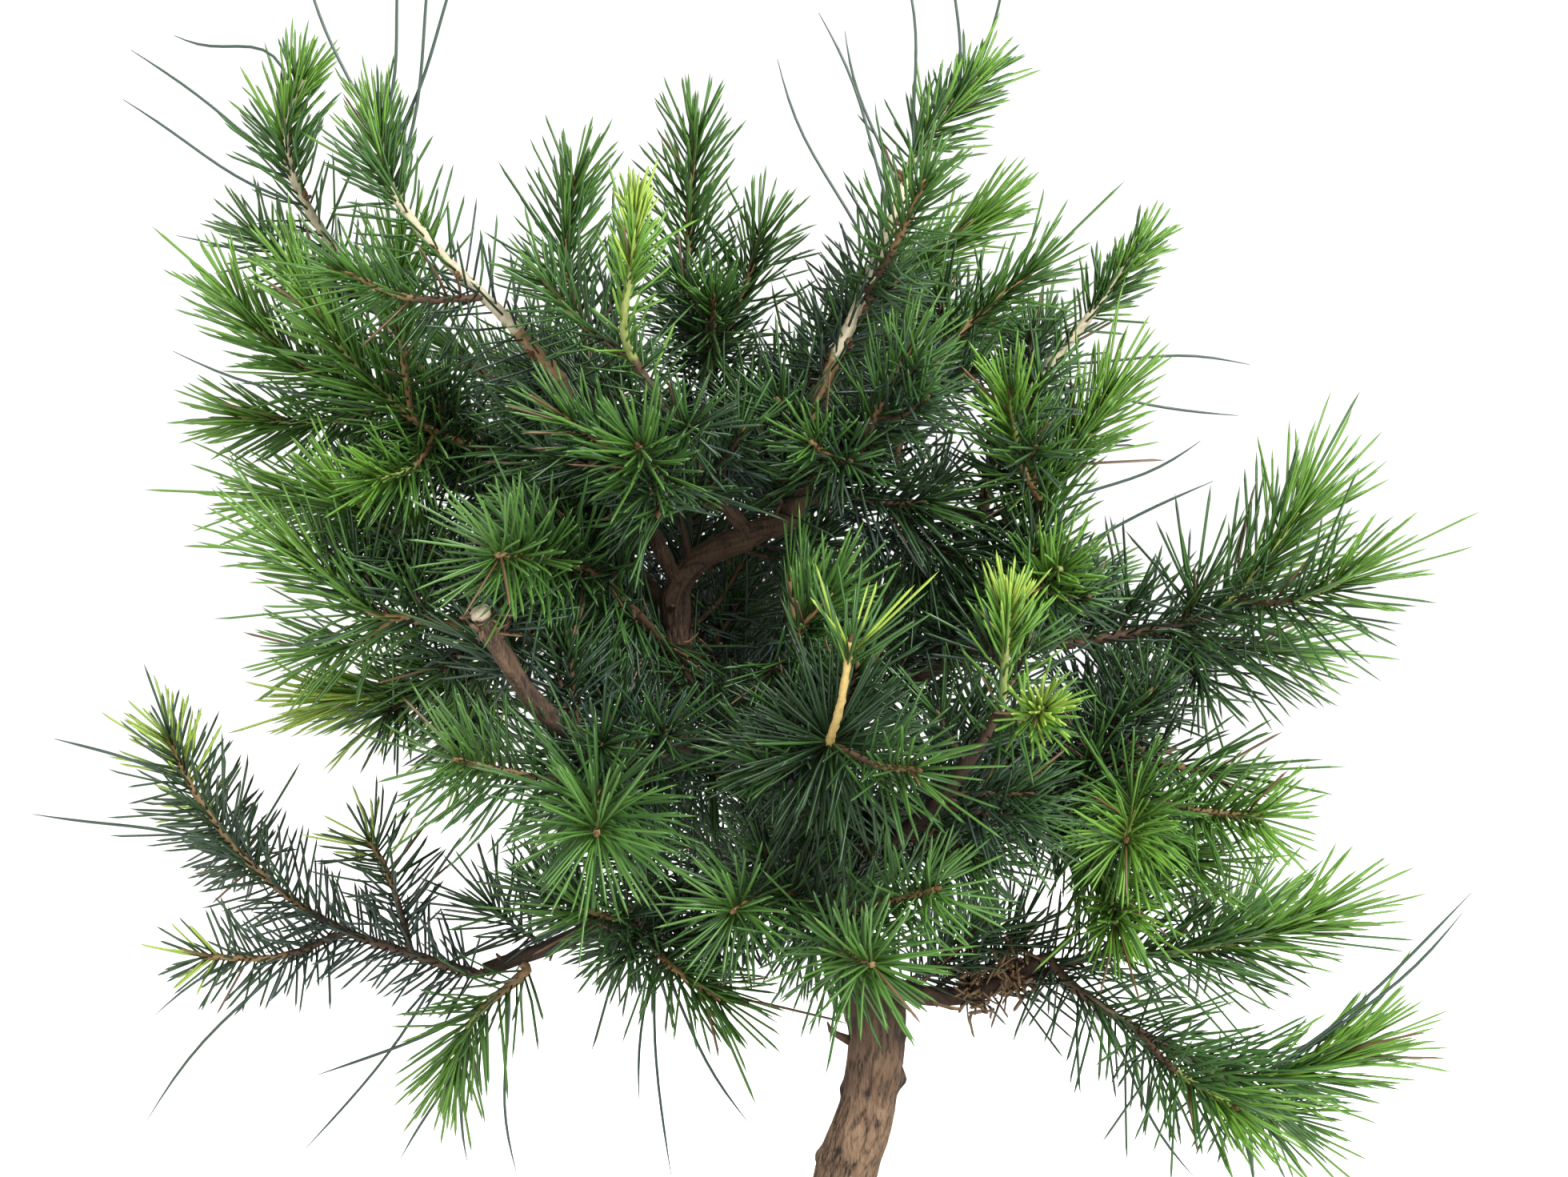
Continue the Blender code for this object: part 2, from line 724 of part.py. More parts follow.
def add_limbs(limbs):
    """The trunk whole, and each bough cut back to it."""
    add("trunk", loft(trunk_rings(limbs["trunk"])), BARK, BARK_ROUGHNESS, smooth_below=SHARP_EDGE)
    room = add("trunk_room", loft(trunk_rings(limbs["trunk"], grown=CLEAR)))
    for name, bough in BOUGHS.items():
        limb = limbs[name]
        runs = limb.course.marks(BOUGH_RING_SPACING)
        rings = [
            ring(frame, lambda angle: limb.radius(run), BOUGH_SIDES)
            for run, frame in zip(runs, frames_along(limb.course, runs))
        ]
        solid = add(f"bough_{name}", loft(rings), bough.colour, BARK_ROUGHNESS, smooth_below=SHARP_EDGE)
        subtract(solid, room)


def stem_of(mass, limb):
    """The stem's course: squarely off the limb's end or its side, then through the mass's points."""
    run = mass.share * limb.course.length
    place, heading = limb.course.at(run), limb.course.heading(run)
    if mass.share == 1:
        out, start = heading, place + heading * CLEAR
    else:
        out = Vector(mass.course[0]) - place
        out = (out - out.project(heading)).normalized()
        start = place + out * (limb.radius(run) + CLEAR)
    return Course([start, start + out * BARE_FOOT / 2, *mass.course])


def twig_course(stem, run, aside, length):
    """A side twig that leaves the stem's middle and bends up towards the way the stem runs."""
    start, heading = stem.at(run), stem.heading(run)
    out = heading * cos(TWIG_ANGLE) + aside * sin(TWIG_ANGLE)
    bent = (out + heading * TWIG_BEND + Vector((0, 0, TWIG_RISE))).normalized()
    middle = start + out * length * 0.5
    return Course([start, middle, middle + bent * length * 0.5])


def add_twigs(mass, shoots, taken, limb_points, rng):
    """Grows side twigs from the mass's stem, each towards the front or the back, where there is most room."""
    stem = shoots[0].course
    length = min(max(stem.length * TWIG_LENGTH_SHARE, TWIG_LEAST), TWIG_MOST)
    for share in TWIG_SHARES[: mass.twigs + 1]:
        if len(shoots) > mass.twigs + len(mass.forks):
            return
        run = share * stem.length
        heading = stem.heading(run)
        depth = Vector((0, 1, 0)) - Vector((0, 1, 0)).project(heading)
        if depth.length < 0.5:
            depth = Vector((1, 0, 0)) - Vector((1, 0, 0)).project(heading)
        others = tree_of(taken + limb_points)
        best = (TWIG_ROOM, None)
        for way in (-1, 1):
            for turn in TWIG_TURNS:
                angle = radians(turn + rng.uniform(-TWIG_TURN_SPREAD, TWIG_TURN_SPREAD))
                aside = Quaternion(heading, angle) @ (depth.normalized() * way)
                grown = length * rng.uniform(1 - TWIG_LENGTH_SPREAD, 1 + TWIG_LENGTH_SPREAD)
                course = twig_course(stem, run, aside, grown)
                tested = [course.at(mark) for mark in course.marks(4 * SPACE_STEP)]
                room = min(others.find(point)[2] for point in tested[len(tested) // 2 :])
                if room > best[0]:
                    best = (room, course)
        if best[1]:
            shoots.append(Shoot(best[1], TWIG_ROOT_RADIUS, TWIG_TIP_RADIUS, mass.needle * 0.9, mass.openness))
            taken += [best[1].at(mark) for mark in best[1].marks(SPACE_STEP)]


def plan_shoots(limbs):
    """The shoots of every mass: its stem, then its forks, then side twigs where there is room."""
    plan, taken = {}, []
    limb_points = [limb.course.at(mark) for limb in limbs.values() for mark in limb.course.marks(SPACE_STEP)]
    for name, mass in MASSES.items():
        stem = stem_of(mass, limbs[mass.limb])
        shoots = [Shoot(stem, STEM_ROOT_RADIUS, STEM_TIP_RADIUS, mass.needle, mass.openness)]
        shoots[0].reaching, shoots[0].sunk = mass.reaching, False
        for share, points in mass.forks:
            fork = Course([stem.at(share * stem.length), *points])
            shoots.append(Shoot(fork, TWIG_ROOT_RADIUS, TWIG_TIP_RADIUS, mass.needle, mass.openness))
        plan[name] = shoots
        for shoot in shoots:
            taken += [shoot.course.at(mark) for mark in shoot.course.marks(SPACE_STEP)]
    for name, mass in MASSES.items():
        add_twigs(mass, plan[name], taken, limb_points, Random(f"{SEED} twigs {name}"))
    return plan


class Space:
    """The space that one shoot may fill: nearer to it than to any other shoot, and clear of the limbs."""

    def __init__(self, own, others, limbs):
        self.own = tree_of([own.course.at(mark) for mark in own.course.marks(SPACE_STEP)])
        self.others = tree_of(
            [shoot.course.at(mark) for shoot in others for mark in shoot.course.marks(SPACE_STEP)]
        )
        self.limbs = limbs

    def holds(self, root, tip, half_width):
        """Whether a needle from root to tip, that thick at its root, stays in the space."""
        steps = ceil((tip - root).length / (2 * SPACE_STEP))
        for step in range(1, steps + 1):
            share = step / steps
            point = root.lerp(tip, share)
            half = half_width * (1 - share)
            near, far = self.own.find(point)[2], self.others.find(point)[2]
            if far - near < 2 * half + CLEAR or far < STEM_ROOT_RADIUS + half + CLEAR:
                return False
            if any(not tree_clear(tree, radii, point, half + 2 * CLEAR) for tree, radii in self.limbs):
                return False
        return True


def tree_clear(tree, radii, point, gap):
    """Whether a point is at least a gap away from the bark of a limb."""
    return all(distance - radii[index] >= gap for _, index, distance in tree.find_n(point, 3))


def limb_trees(limbs):
    """For the trunk and for the boughs, a search tree of their middles and the radius at each point of it."""
    groups = []
    for names in (["trunk"], list(BOUGHS)):
        points, radii = [], []
        for name in names:
            for mark in limbs[name].course.marks(SPACE_STEP):
                points.append(limbs[name].course.at(mark))
                radii.append(limbs[name].radius(mark))
        groups.append((tree_of(points), radii))
    return groups


def lean_at(share):
    """How far needles lean out from their shoot: wide at its foot, closing up towards its tip."""
    if share < LEAN_TURN:
        return LEAN_FOOT + (LEAN_MIDDLE - LEAN_FOOT) * share / LEAN_TURN
    return LEAN_MIDDLE + (LEAN_TIP - LEAN_MIDDLE) * (share - LEAN_TURN) / (1 - LEAN_TURN)


def core_of(shoot):
    """The core's rings and the numbers of the stretches between them that are bands of needles."""
    course, runs, bands = shoot.course, [0.0], []
    if shoot.sunk:
        runs.append(BARE_FOOT / 2)
    run = BARE_FOOT
    while run + BAND_RISE + BUD_LENGTH < course.length:
        runs += [run, run + BAND_RISE]
        bands.append(len(runs) - 2)
        run += BAND_RISE + BAND_SPACING * shoot.openness
    frames = frames_along(course, runs)
    rings, turn = [], 0.0
    for index, (run, frame) in enumerate(zip(runs, frames)):
        radius = shoot.radius(run)
        if shoot.sunk and index == 0:
            radius *= SUNK_SHARE
        rings.append(ring(frame, lambda angle: radius, CORE_SIDES, turn))
        if index not in bands:
            turn += BAND_TWIST
    return rings, bands, [(runs[index], frames[index]) for index in bands]


def needle_faces(rings, band):
    """Each small face of a band: its side of the core, its half of that side, and its corners."""
    lower, upper = rings[band], rings[band + 1]
    for side in range(CORE_SIDES):
        following = (side + 1) % CORE_SIDES
        a, b, c, d = lower[side], lower[following], upper[following], upper[side]
        yield side, 0, (a, b, c)
        yield side, 1, (a, c, d)


def plan_needles(shoot, space, core, rng):
    """Where each needle's tip is, by the face that it grows from. A needle that has no room is left out."""
    rings, bands, places = core
    tips = {}
    for band, (run, (_, heading, _)) in zip(bands, places):
        lower = rings[band]
        middle = sum(lower, Vector()) / CORE_SIDES
        share = run / shoot.course.length
        for side, half, corners in needle_faces(rings, band):
            root = sum(corners, Vector()) / 3
            out = ((lower[side] + lower[(side + 1) % CORE_SIDES]) / 2 - middle).normalized()
            fan = NEEDLE_FAN * (1 - 2 * half) + rng.gauss(0, NEEDLE_SPREAD / 2)
            lean = lean_at(share) + rng.gauss(0, NEEDLE_SPREAD / 2)
            length = shoot.needle * rng.uniform(1 - LENGTH_SPREAD, 1 + LENGTH_SPREAD) * (1 - TIP_SHORTENING * share**3)
            way = heading * cos(lean) + (Quaternion(heading, fan) @ out) * sin(lean)
            for shortening in SHORTENINGS:
                tip = root + way * length * shortening
                if space.holds(root, tip, (corners[1] - corners[0]).length / 3):
                    tips[band, side, half] = tip
                    break
    return tips


def reach_out(shoot, core, tips):
    """Gives each far-reaching needle the free face that looks most towards its tip."""
    rings, bands, places = core
    for share, target in shoot.reaching:
        target = Vector(target)
        wanted = share * shoot.course.length
        band = min(zip(bands, places), key=lambda entry: abs(entry[1][0] - wanted))[0]
        middle = sum(rings[band], Vector()) / CORE_SIDES
        faces = list(needle_faces(rings, band))
        side, half, _ = max(
            faces, key=lambda face: (sum(face[2], Vector()) / 3 - middle).normalized().dot(target - middle)
        )
        tips[band, side, half] = target


def brush(core, bands, tips, bud):
    """The shoot's mesh, and for each of its faces the needle that it belongs to."""
    work = bmesh.new()
    loops = [[work.verts.new(point) for point in loop] for loop in core]
    owners = []

    def cone(corners, apex, owner):
        peak = work.verts.new(apex)
        for first, second in zip(corners, corners[1:] + corners[:1]):
            work.faces.new((first, second, peak))
            owners.append(owner)

    for index in range(len(loops) - 1):
        for side, half, corners in needle_faces(loops, index):
            tip = tips.get((index, side, half)) if index in bands else None
            if tip:
                cone(corners, tip, (index, side, half))
            else:
                work.faces.new(corners)
                owners.append(None)
    work.faces.new(reversed(loops[0]))
    owners.append(None)
    cone(tuple(loops[-1]), bud, None)
    return work, owners


def crossed_needles(work, owners):
    """Needles whose faces cut another face of the same shoot."""
    work.faces.ensure_lookup_table()
    tree = BVHTree.FromBMesh(work)
    crossed = set()
    for first, second in tree.overlap(tree):
        if set(work.faces[first].verts) & set(work.faces[second].verts):
            continue
        if owners[first] != owners[second]:
            crossed.add(max(owner for owner in (owners[first], owners[second]) if owner))
    return crossed


def build_shoot(shoot, space, rng):
    """The shoot's mesh, with any needle left out that would cross another."""
    core = core_of(shoot)
    rings, bands, _ = core
    tips = plan_needles(shoot, space, core, rng)
    reach_out(shoot, core, tips)
    _, heading, _ = frames_along(shoot.course, [shoot.course.length])[0]
    bud = sum(rings[-1], Vector()) / CORE_SIDES + heading * BUD_LENGTH
    while True:
        work, owners = brush(rings, bands, tips, bud)
        crossed = crossed_needles(work, owners)
        if not crossed:
            return work
        work.free()
        for owner in crossed:
            del tips[owner]


def whole(mesh):
    """Whether every edge of a mesh has exactly two faces."""
    work = bmesh.new()
    work.from_mesh(mesh)
    closed = all(edge.is_manifold for edge in work.edges)
    work.free()
    return closed


def join(stem, twigs):
    """Fuses the twigs of a collection into the stem and removes them."""
    union = stem.modifiers.new("fused_twigs", "BOOLEAN")
    union.operation = "UNION"
    union.operand_type = "COLLECTION"
    union.collection = twigs
    for solver in ("EXACT", "MANIFOLD"):
        union.solver = solver
        fused = bpy.data.meshes.new_from_object(stem.evaluated_get(bpy.context.evaluated_depsgraph_get()))
        if whole(fused):
            break
    stem.modifiers.remove(union)
    stem.data = fused
    for twig in list(twigs.objects):
        bpy.data.objects.remove(twig)
    bpy.data.collections.remove(twigs)


def drop_scraps(mesh):
    """Keeps the largest connected piece of a mesh, so a loose scrap goes and a sealed hollow is filled."""
    work = bmesh.new()
    work.from_mesh(mesh)
    left, pieces = set(work.verts), []
    while left:
        piece, edge = set(), [left.pop()]
        while edge:
            vert = edge.pop()
            piece.add(vert)
            near = {link.other_vert(vert) for link in vert.link_edges} & left
            left -= near
            edge += near
        pieces.append(piece)
    pieces.sort(key=len)
    for piece in pieces[:-1]:
        bmesh.ops.delete(work, geom=list(piece), context="VERTS")
    work.to_mesh(mesh)
    work.free()


def add_foliage(limbs):
    """Every mass of needles, each in its own space."""
    plan = plan_shoots(limbs)
    everything = [shoot for shoots in plan.values() for shoot in shoots]
    trees = limb_trees(limbs)
    for name, shoots in plan.items():
        twigs = bpy.data.collections.new(f"twigs_of_{name}")
        bpy.context.scene.collection.children.link(twigs)
        rng = Random(f"{SEED} needles {name}")
        for number, shoot in enumerate(shoots):
            space = Space(shoot, [other for other in everything if other is not shoot], trees)
            work = build_shoot(shoot, space, rng)
            if number == 0:
                stem = add(f"foliage_{name}", work, MASSES[name].colour, NEEDLE_ROUGHNESS)
            else:
                add(f"twig_{number}", work, collection=twigs)
        join(stem, twigs)
        drop_scraps(stem.data)


def main():
    for obj in list(bpy.data.objects):
        bpy.data.objects.remove(obj)
    limbs = {"trunk": Limb([row[:3] for row in TRUNK], [row[3] for row in TRUNK])}
    limbs |= {name: Limb(bough.points, [bough.root, bough.tip]) for name, bough in BOUGHS.items()}
    add_pot()
    add_soil()
    add_limbs(limbs)
    add_foliage(limbs)


if __name__ == "__main__":
    main()
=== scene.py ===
"""Looks of an aleppo pine bonsai in a plain stoneware pot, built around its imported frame.

Lengths are metres, +Z is up and Y runs away from the front of the tree. The limbs and stems follow the same
named points and the same twig rule as the solids that they replace.
"""

import logging
import math
from dataclasses import dataclass, field
from enum import Enum
from random import Random

import bpy
import numpy as np
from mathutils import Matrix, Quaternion, Vector, noise
from mathutils.kdtree import KDTree


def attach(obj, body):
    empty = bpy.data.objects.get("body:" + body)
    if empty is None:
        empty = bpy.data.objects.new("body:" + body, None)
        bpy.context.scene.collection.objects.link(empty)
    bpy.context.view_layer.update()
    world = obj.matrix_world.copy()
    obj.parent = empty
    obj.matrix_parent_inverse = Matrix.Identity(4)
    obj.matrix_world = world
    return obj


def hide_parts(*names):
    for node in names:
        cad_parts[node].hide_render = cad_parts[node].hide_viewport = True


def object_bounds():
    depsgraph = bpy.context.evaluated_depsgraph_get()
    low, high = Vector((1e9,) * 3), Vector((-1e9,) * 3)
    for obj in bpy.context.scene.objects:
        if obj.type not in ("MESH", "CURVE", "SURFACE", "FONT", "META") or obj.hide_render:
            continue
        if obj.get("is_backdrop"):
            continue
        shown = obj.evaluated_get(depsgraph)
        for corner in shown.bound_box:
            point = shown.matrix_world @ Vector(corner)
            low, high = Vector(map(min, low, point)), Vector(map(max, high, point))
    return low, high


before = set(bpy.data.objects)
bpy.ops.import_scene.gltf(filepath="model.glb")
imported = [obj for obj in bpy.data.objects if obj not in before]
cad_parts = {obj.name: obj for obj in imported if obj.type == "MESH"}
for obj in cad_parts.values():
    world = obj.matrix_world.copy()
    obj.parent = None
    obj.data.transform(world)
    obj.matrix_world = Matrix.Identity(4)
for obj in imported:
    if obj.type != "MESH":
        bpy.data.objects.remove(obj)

BODY = "root"
SEED = 8233
MM = 0.001
CLEAR = 0.3 * MM
GOLDEN_TURN = math.pi * (3 - 5**0.5)
RIGHT, AWAY, UP = Vector((1, 0, 0)), Vector((0, 1, 0)), Vector((0, 0, 1))
WHITE = (1, 1, 1, 1)

Sockets = dict[str | int, object]


@dataclass(frozen=True)
class Bough:
    """One tapering limb: the points its middle runs through, and its radius at each end."""

    points: tuple
    root: float
    tip: float


@dataclass(frozen=True)
class Fork:
    """A second leader of a mass: the share of the stem that it leaves at, and its points."""

    share: float
    points: tuple


@dataclass(frozen=True)
class Mass:
    """One mass of foliage: where its stem leaves the tree, the stem's points and its needle length."""

    limb: str
    share: float
    course: tuple
    needle: float = 0.028
    twigs: int = 1
    fork: Fork | None = None


# Middle line of the trunk and its radius, from the soil to the cut leader
TRUNK = (
    (0.0, 0.0, 0.068, 0.0225),
    (0.0, 0.0, 0.076, 0.018),
    (0.002, 0.0, 0.088, 0.0145),
    (0.004, 0.0, 0.106, 0.0122),
    (0.01, 0.0, 0.131, 0.0108),
    (0.018, 0.0, 0.159, 0.0098),
    (0.021, 0.0, 0.18, 0.0099),
    (0.019, 0.0, 0.196, 0.0108),
    (0.011, 0.002, 0.214, 0.0095),
    (0.008, 0.005, 0.235, 0.009),
    (0.006, 0.008, 0.259, 0.0085),
    (-0.006, 0.012, 0.28, 0.0078),
    (-0.027, 0.012, 0.294, 0.007),
    (-0.044, 0.008, 0.304, 0.0062),
    (-0.049, 0.0, 0.325, 0.0052),
    (-0.048, -0.006, 0.342, 0.0047),
    (-0.038, -0.012, 0.353, 0.0043),
    (-0.021, -0.02, 0.361, 0.0041),
    (-0.008, -0.025, 0.369, 0.0038),
    (-0.004, -0.028, 0.395, 0.0029),
)

BOUGHS: dict[str, Bough] = {
    "left_low": Bough(
        points=((0.007, 0.005, 0.241), (-0.034, -0.008, 0.237), (-0.07, -0.012, 0.225),
                (-0.09, -0.014, 0.217), (-0.116, -0.016, 0.208)),
        root=0.0036, tip=0.0025,
    ),
    "right_low": Bough(
        points=((0.017, 0.0, 0.204), (0.036, -0.008, 0.198), (0.056, -0.014, 0.2),
                (0.077, -0.018, 0.211)),
        root=0.004, tip=0.0026,
    ),
    "right_front": Bough(
        points=((0.008, 0.006, 0.248), (0.026, -0.045, 0.259), (0.04, -0.075, 0.275),
                (0.052, -0.095, 0.296)),
        root=0.0031, tip=0.0022,
    ),
    "right_mid": Bough(
        points=((0.006, 0.008, 0.26), (0.046, 0.028, 0.262), (0.085, 0.022, 0.273),
                (0.111, 0.01, 0.278)),
        root=0.0032, tip=0.0023,
    ),
    "right_high": Bough(
        points=((-0.013, 0.012, 0.284), (0.02, 0.03, 0.299), (0.06, 0.025, 0.316),
                (0.091, 0.012, 0.32)),
        root=0.0032, tip=0.0022,
    ),
    "upper_right": Bough(
        points=((-0.006, -0.026, 0.373), (0.016, -0.012, 0.373), (0.037, 0.005, 0.368),
                (0.055, 0.012, 0.365)),
        root=0.0026, tip=0.002,
    ),
    "crest": Bough(
        points=((-0.024, -0.018, 0.36), (-0.037, -0.045, 0.379), (-0.048, -0.066, 0.399)),
        root=0.0026, tip=0.002,
    ),
    "upper_left": Bough(
        points=((-0.048, -0.006, 0.341), (-0.061, -0.025, 0.368), (-0.075, -0.038, 0.394),
                (-0.087, -0.042, 0.413)),
        root=0.0028, tip=0.0021,
    ),
    "left_high": Bough(
        points=((-0.049, -0.002, 0.33), (-0.08, 0.022, 0.36), (-0.114, 0.028, 0.388),
                (-0.135, 0.02, 0.408)),
        root=0.003, tip=0.0022,
    ),
    "left_mid": Bough(
        points=((-0.045, 0.008, 0.306), (-0.079, 0.005, 0.321), (-0.106, -0.01, 0.33),
                (-0.123, -0.02, 0.329)),
        root=0.0032, tip=0.0022,
    ),
    "cut_stub": Bough(
        points=((-0.027, 0.012, 0.294), (-0.05, -0.045, 0.286), (-0.071, -0.075, 0.292),
                (-0.09, -0.09, 0.306), (-0.102, -0.098, 0.324), (-0.11, -0.104, 0.34)),
        root=0.0042, tip=0.003,
    ),
    "front_low": Bough(
        points=((0.006, 0.006, 0.24), (-0.005, -0.04, 0.244), (-0.013, -0.07, 0.246)),
        root=0.0028, tip=0.0021,
    ),
    "front_mid": Bough(
        points=((0.001, 0.01, 0.268), (0.002, -0.05, 0.283), (0.003, -0.09, 0.294)),
        root=0.0027, tip=0.002,
    ),
    "back_low": Bough(
        points=((0.007, 0.006, 0.236), (0.003, 0.06, 0.234), (-0.003, 0.105, 0.237)),
        root=0.0034, tip=0.0023,
    ),
    "back_mid": Bough(
        points=((-0.017, 0.012, 0.287), (-0.024, 0.06, 0.299), (-0.027, 0.11, 0.313)),
        root=0.003, tip=0.0022,
    ),
    "back_high": Bough(
        points=((-0.048, 0.004, 0.317), (-0.045, 0.045, 0.352), (-0.036, 0.085, 0.386)),
        root=0.003, tip=0.0022,
    ),
}

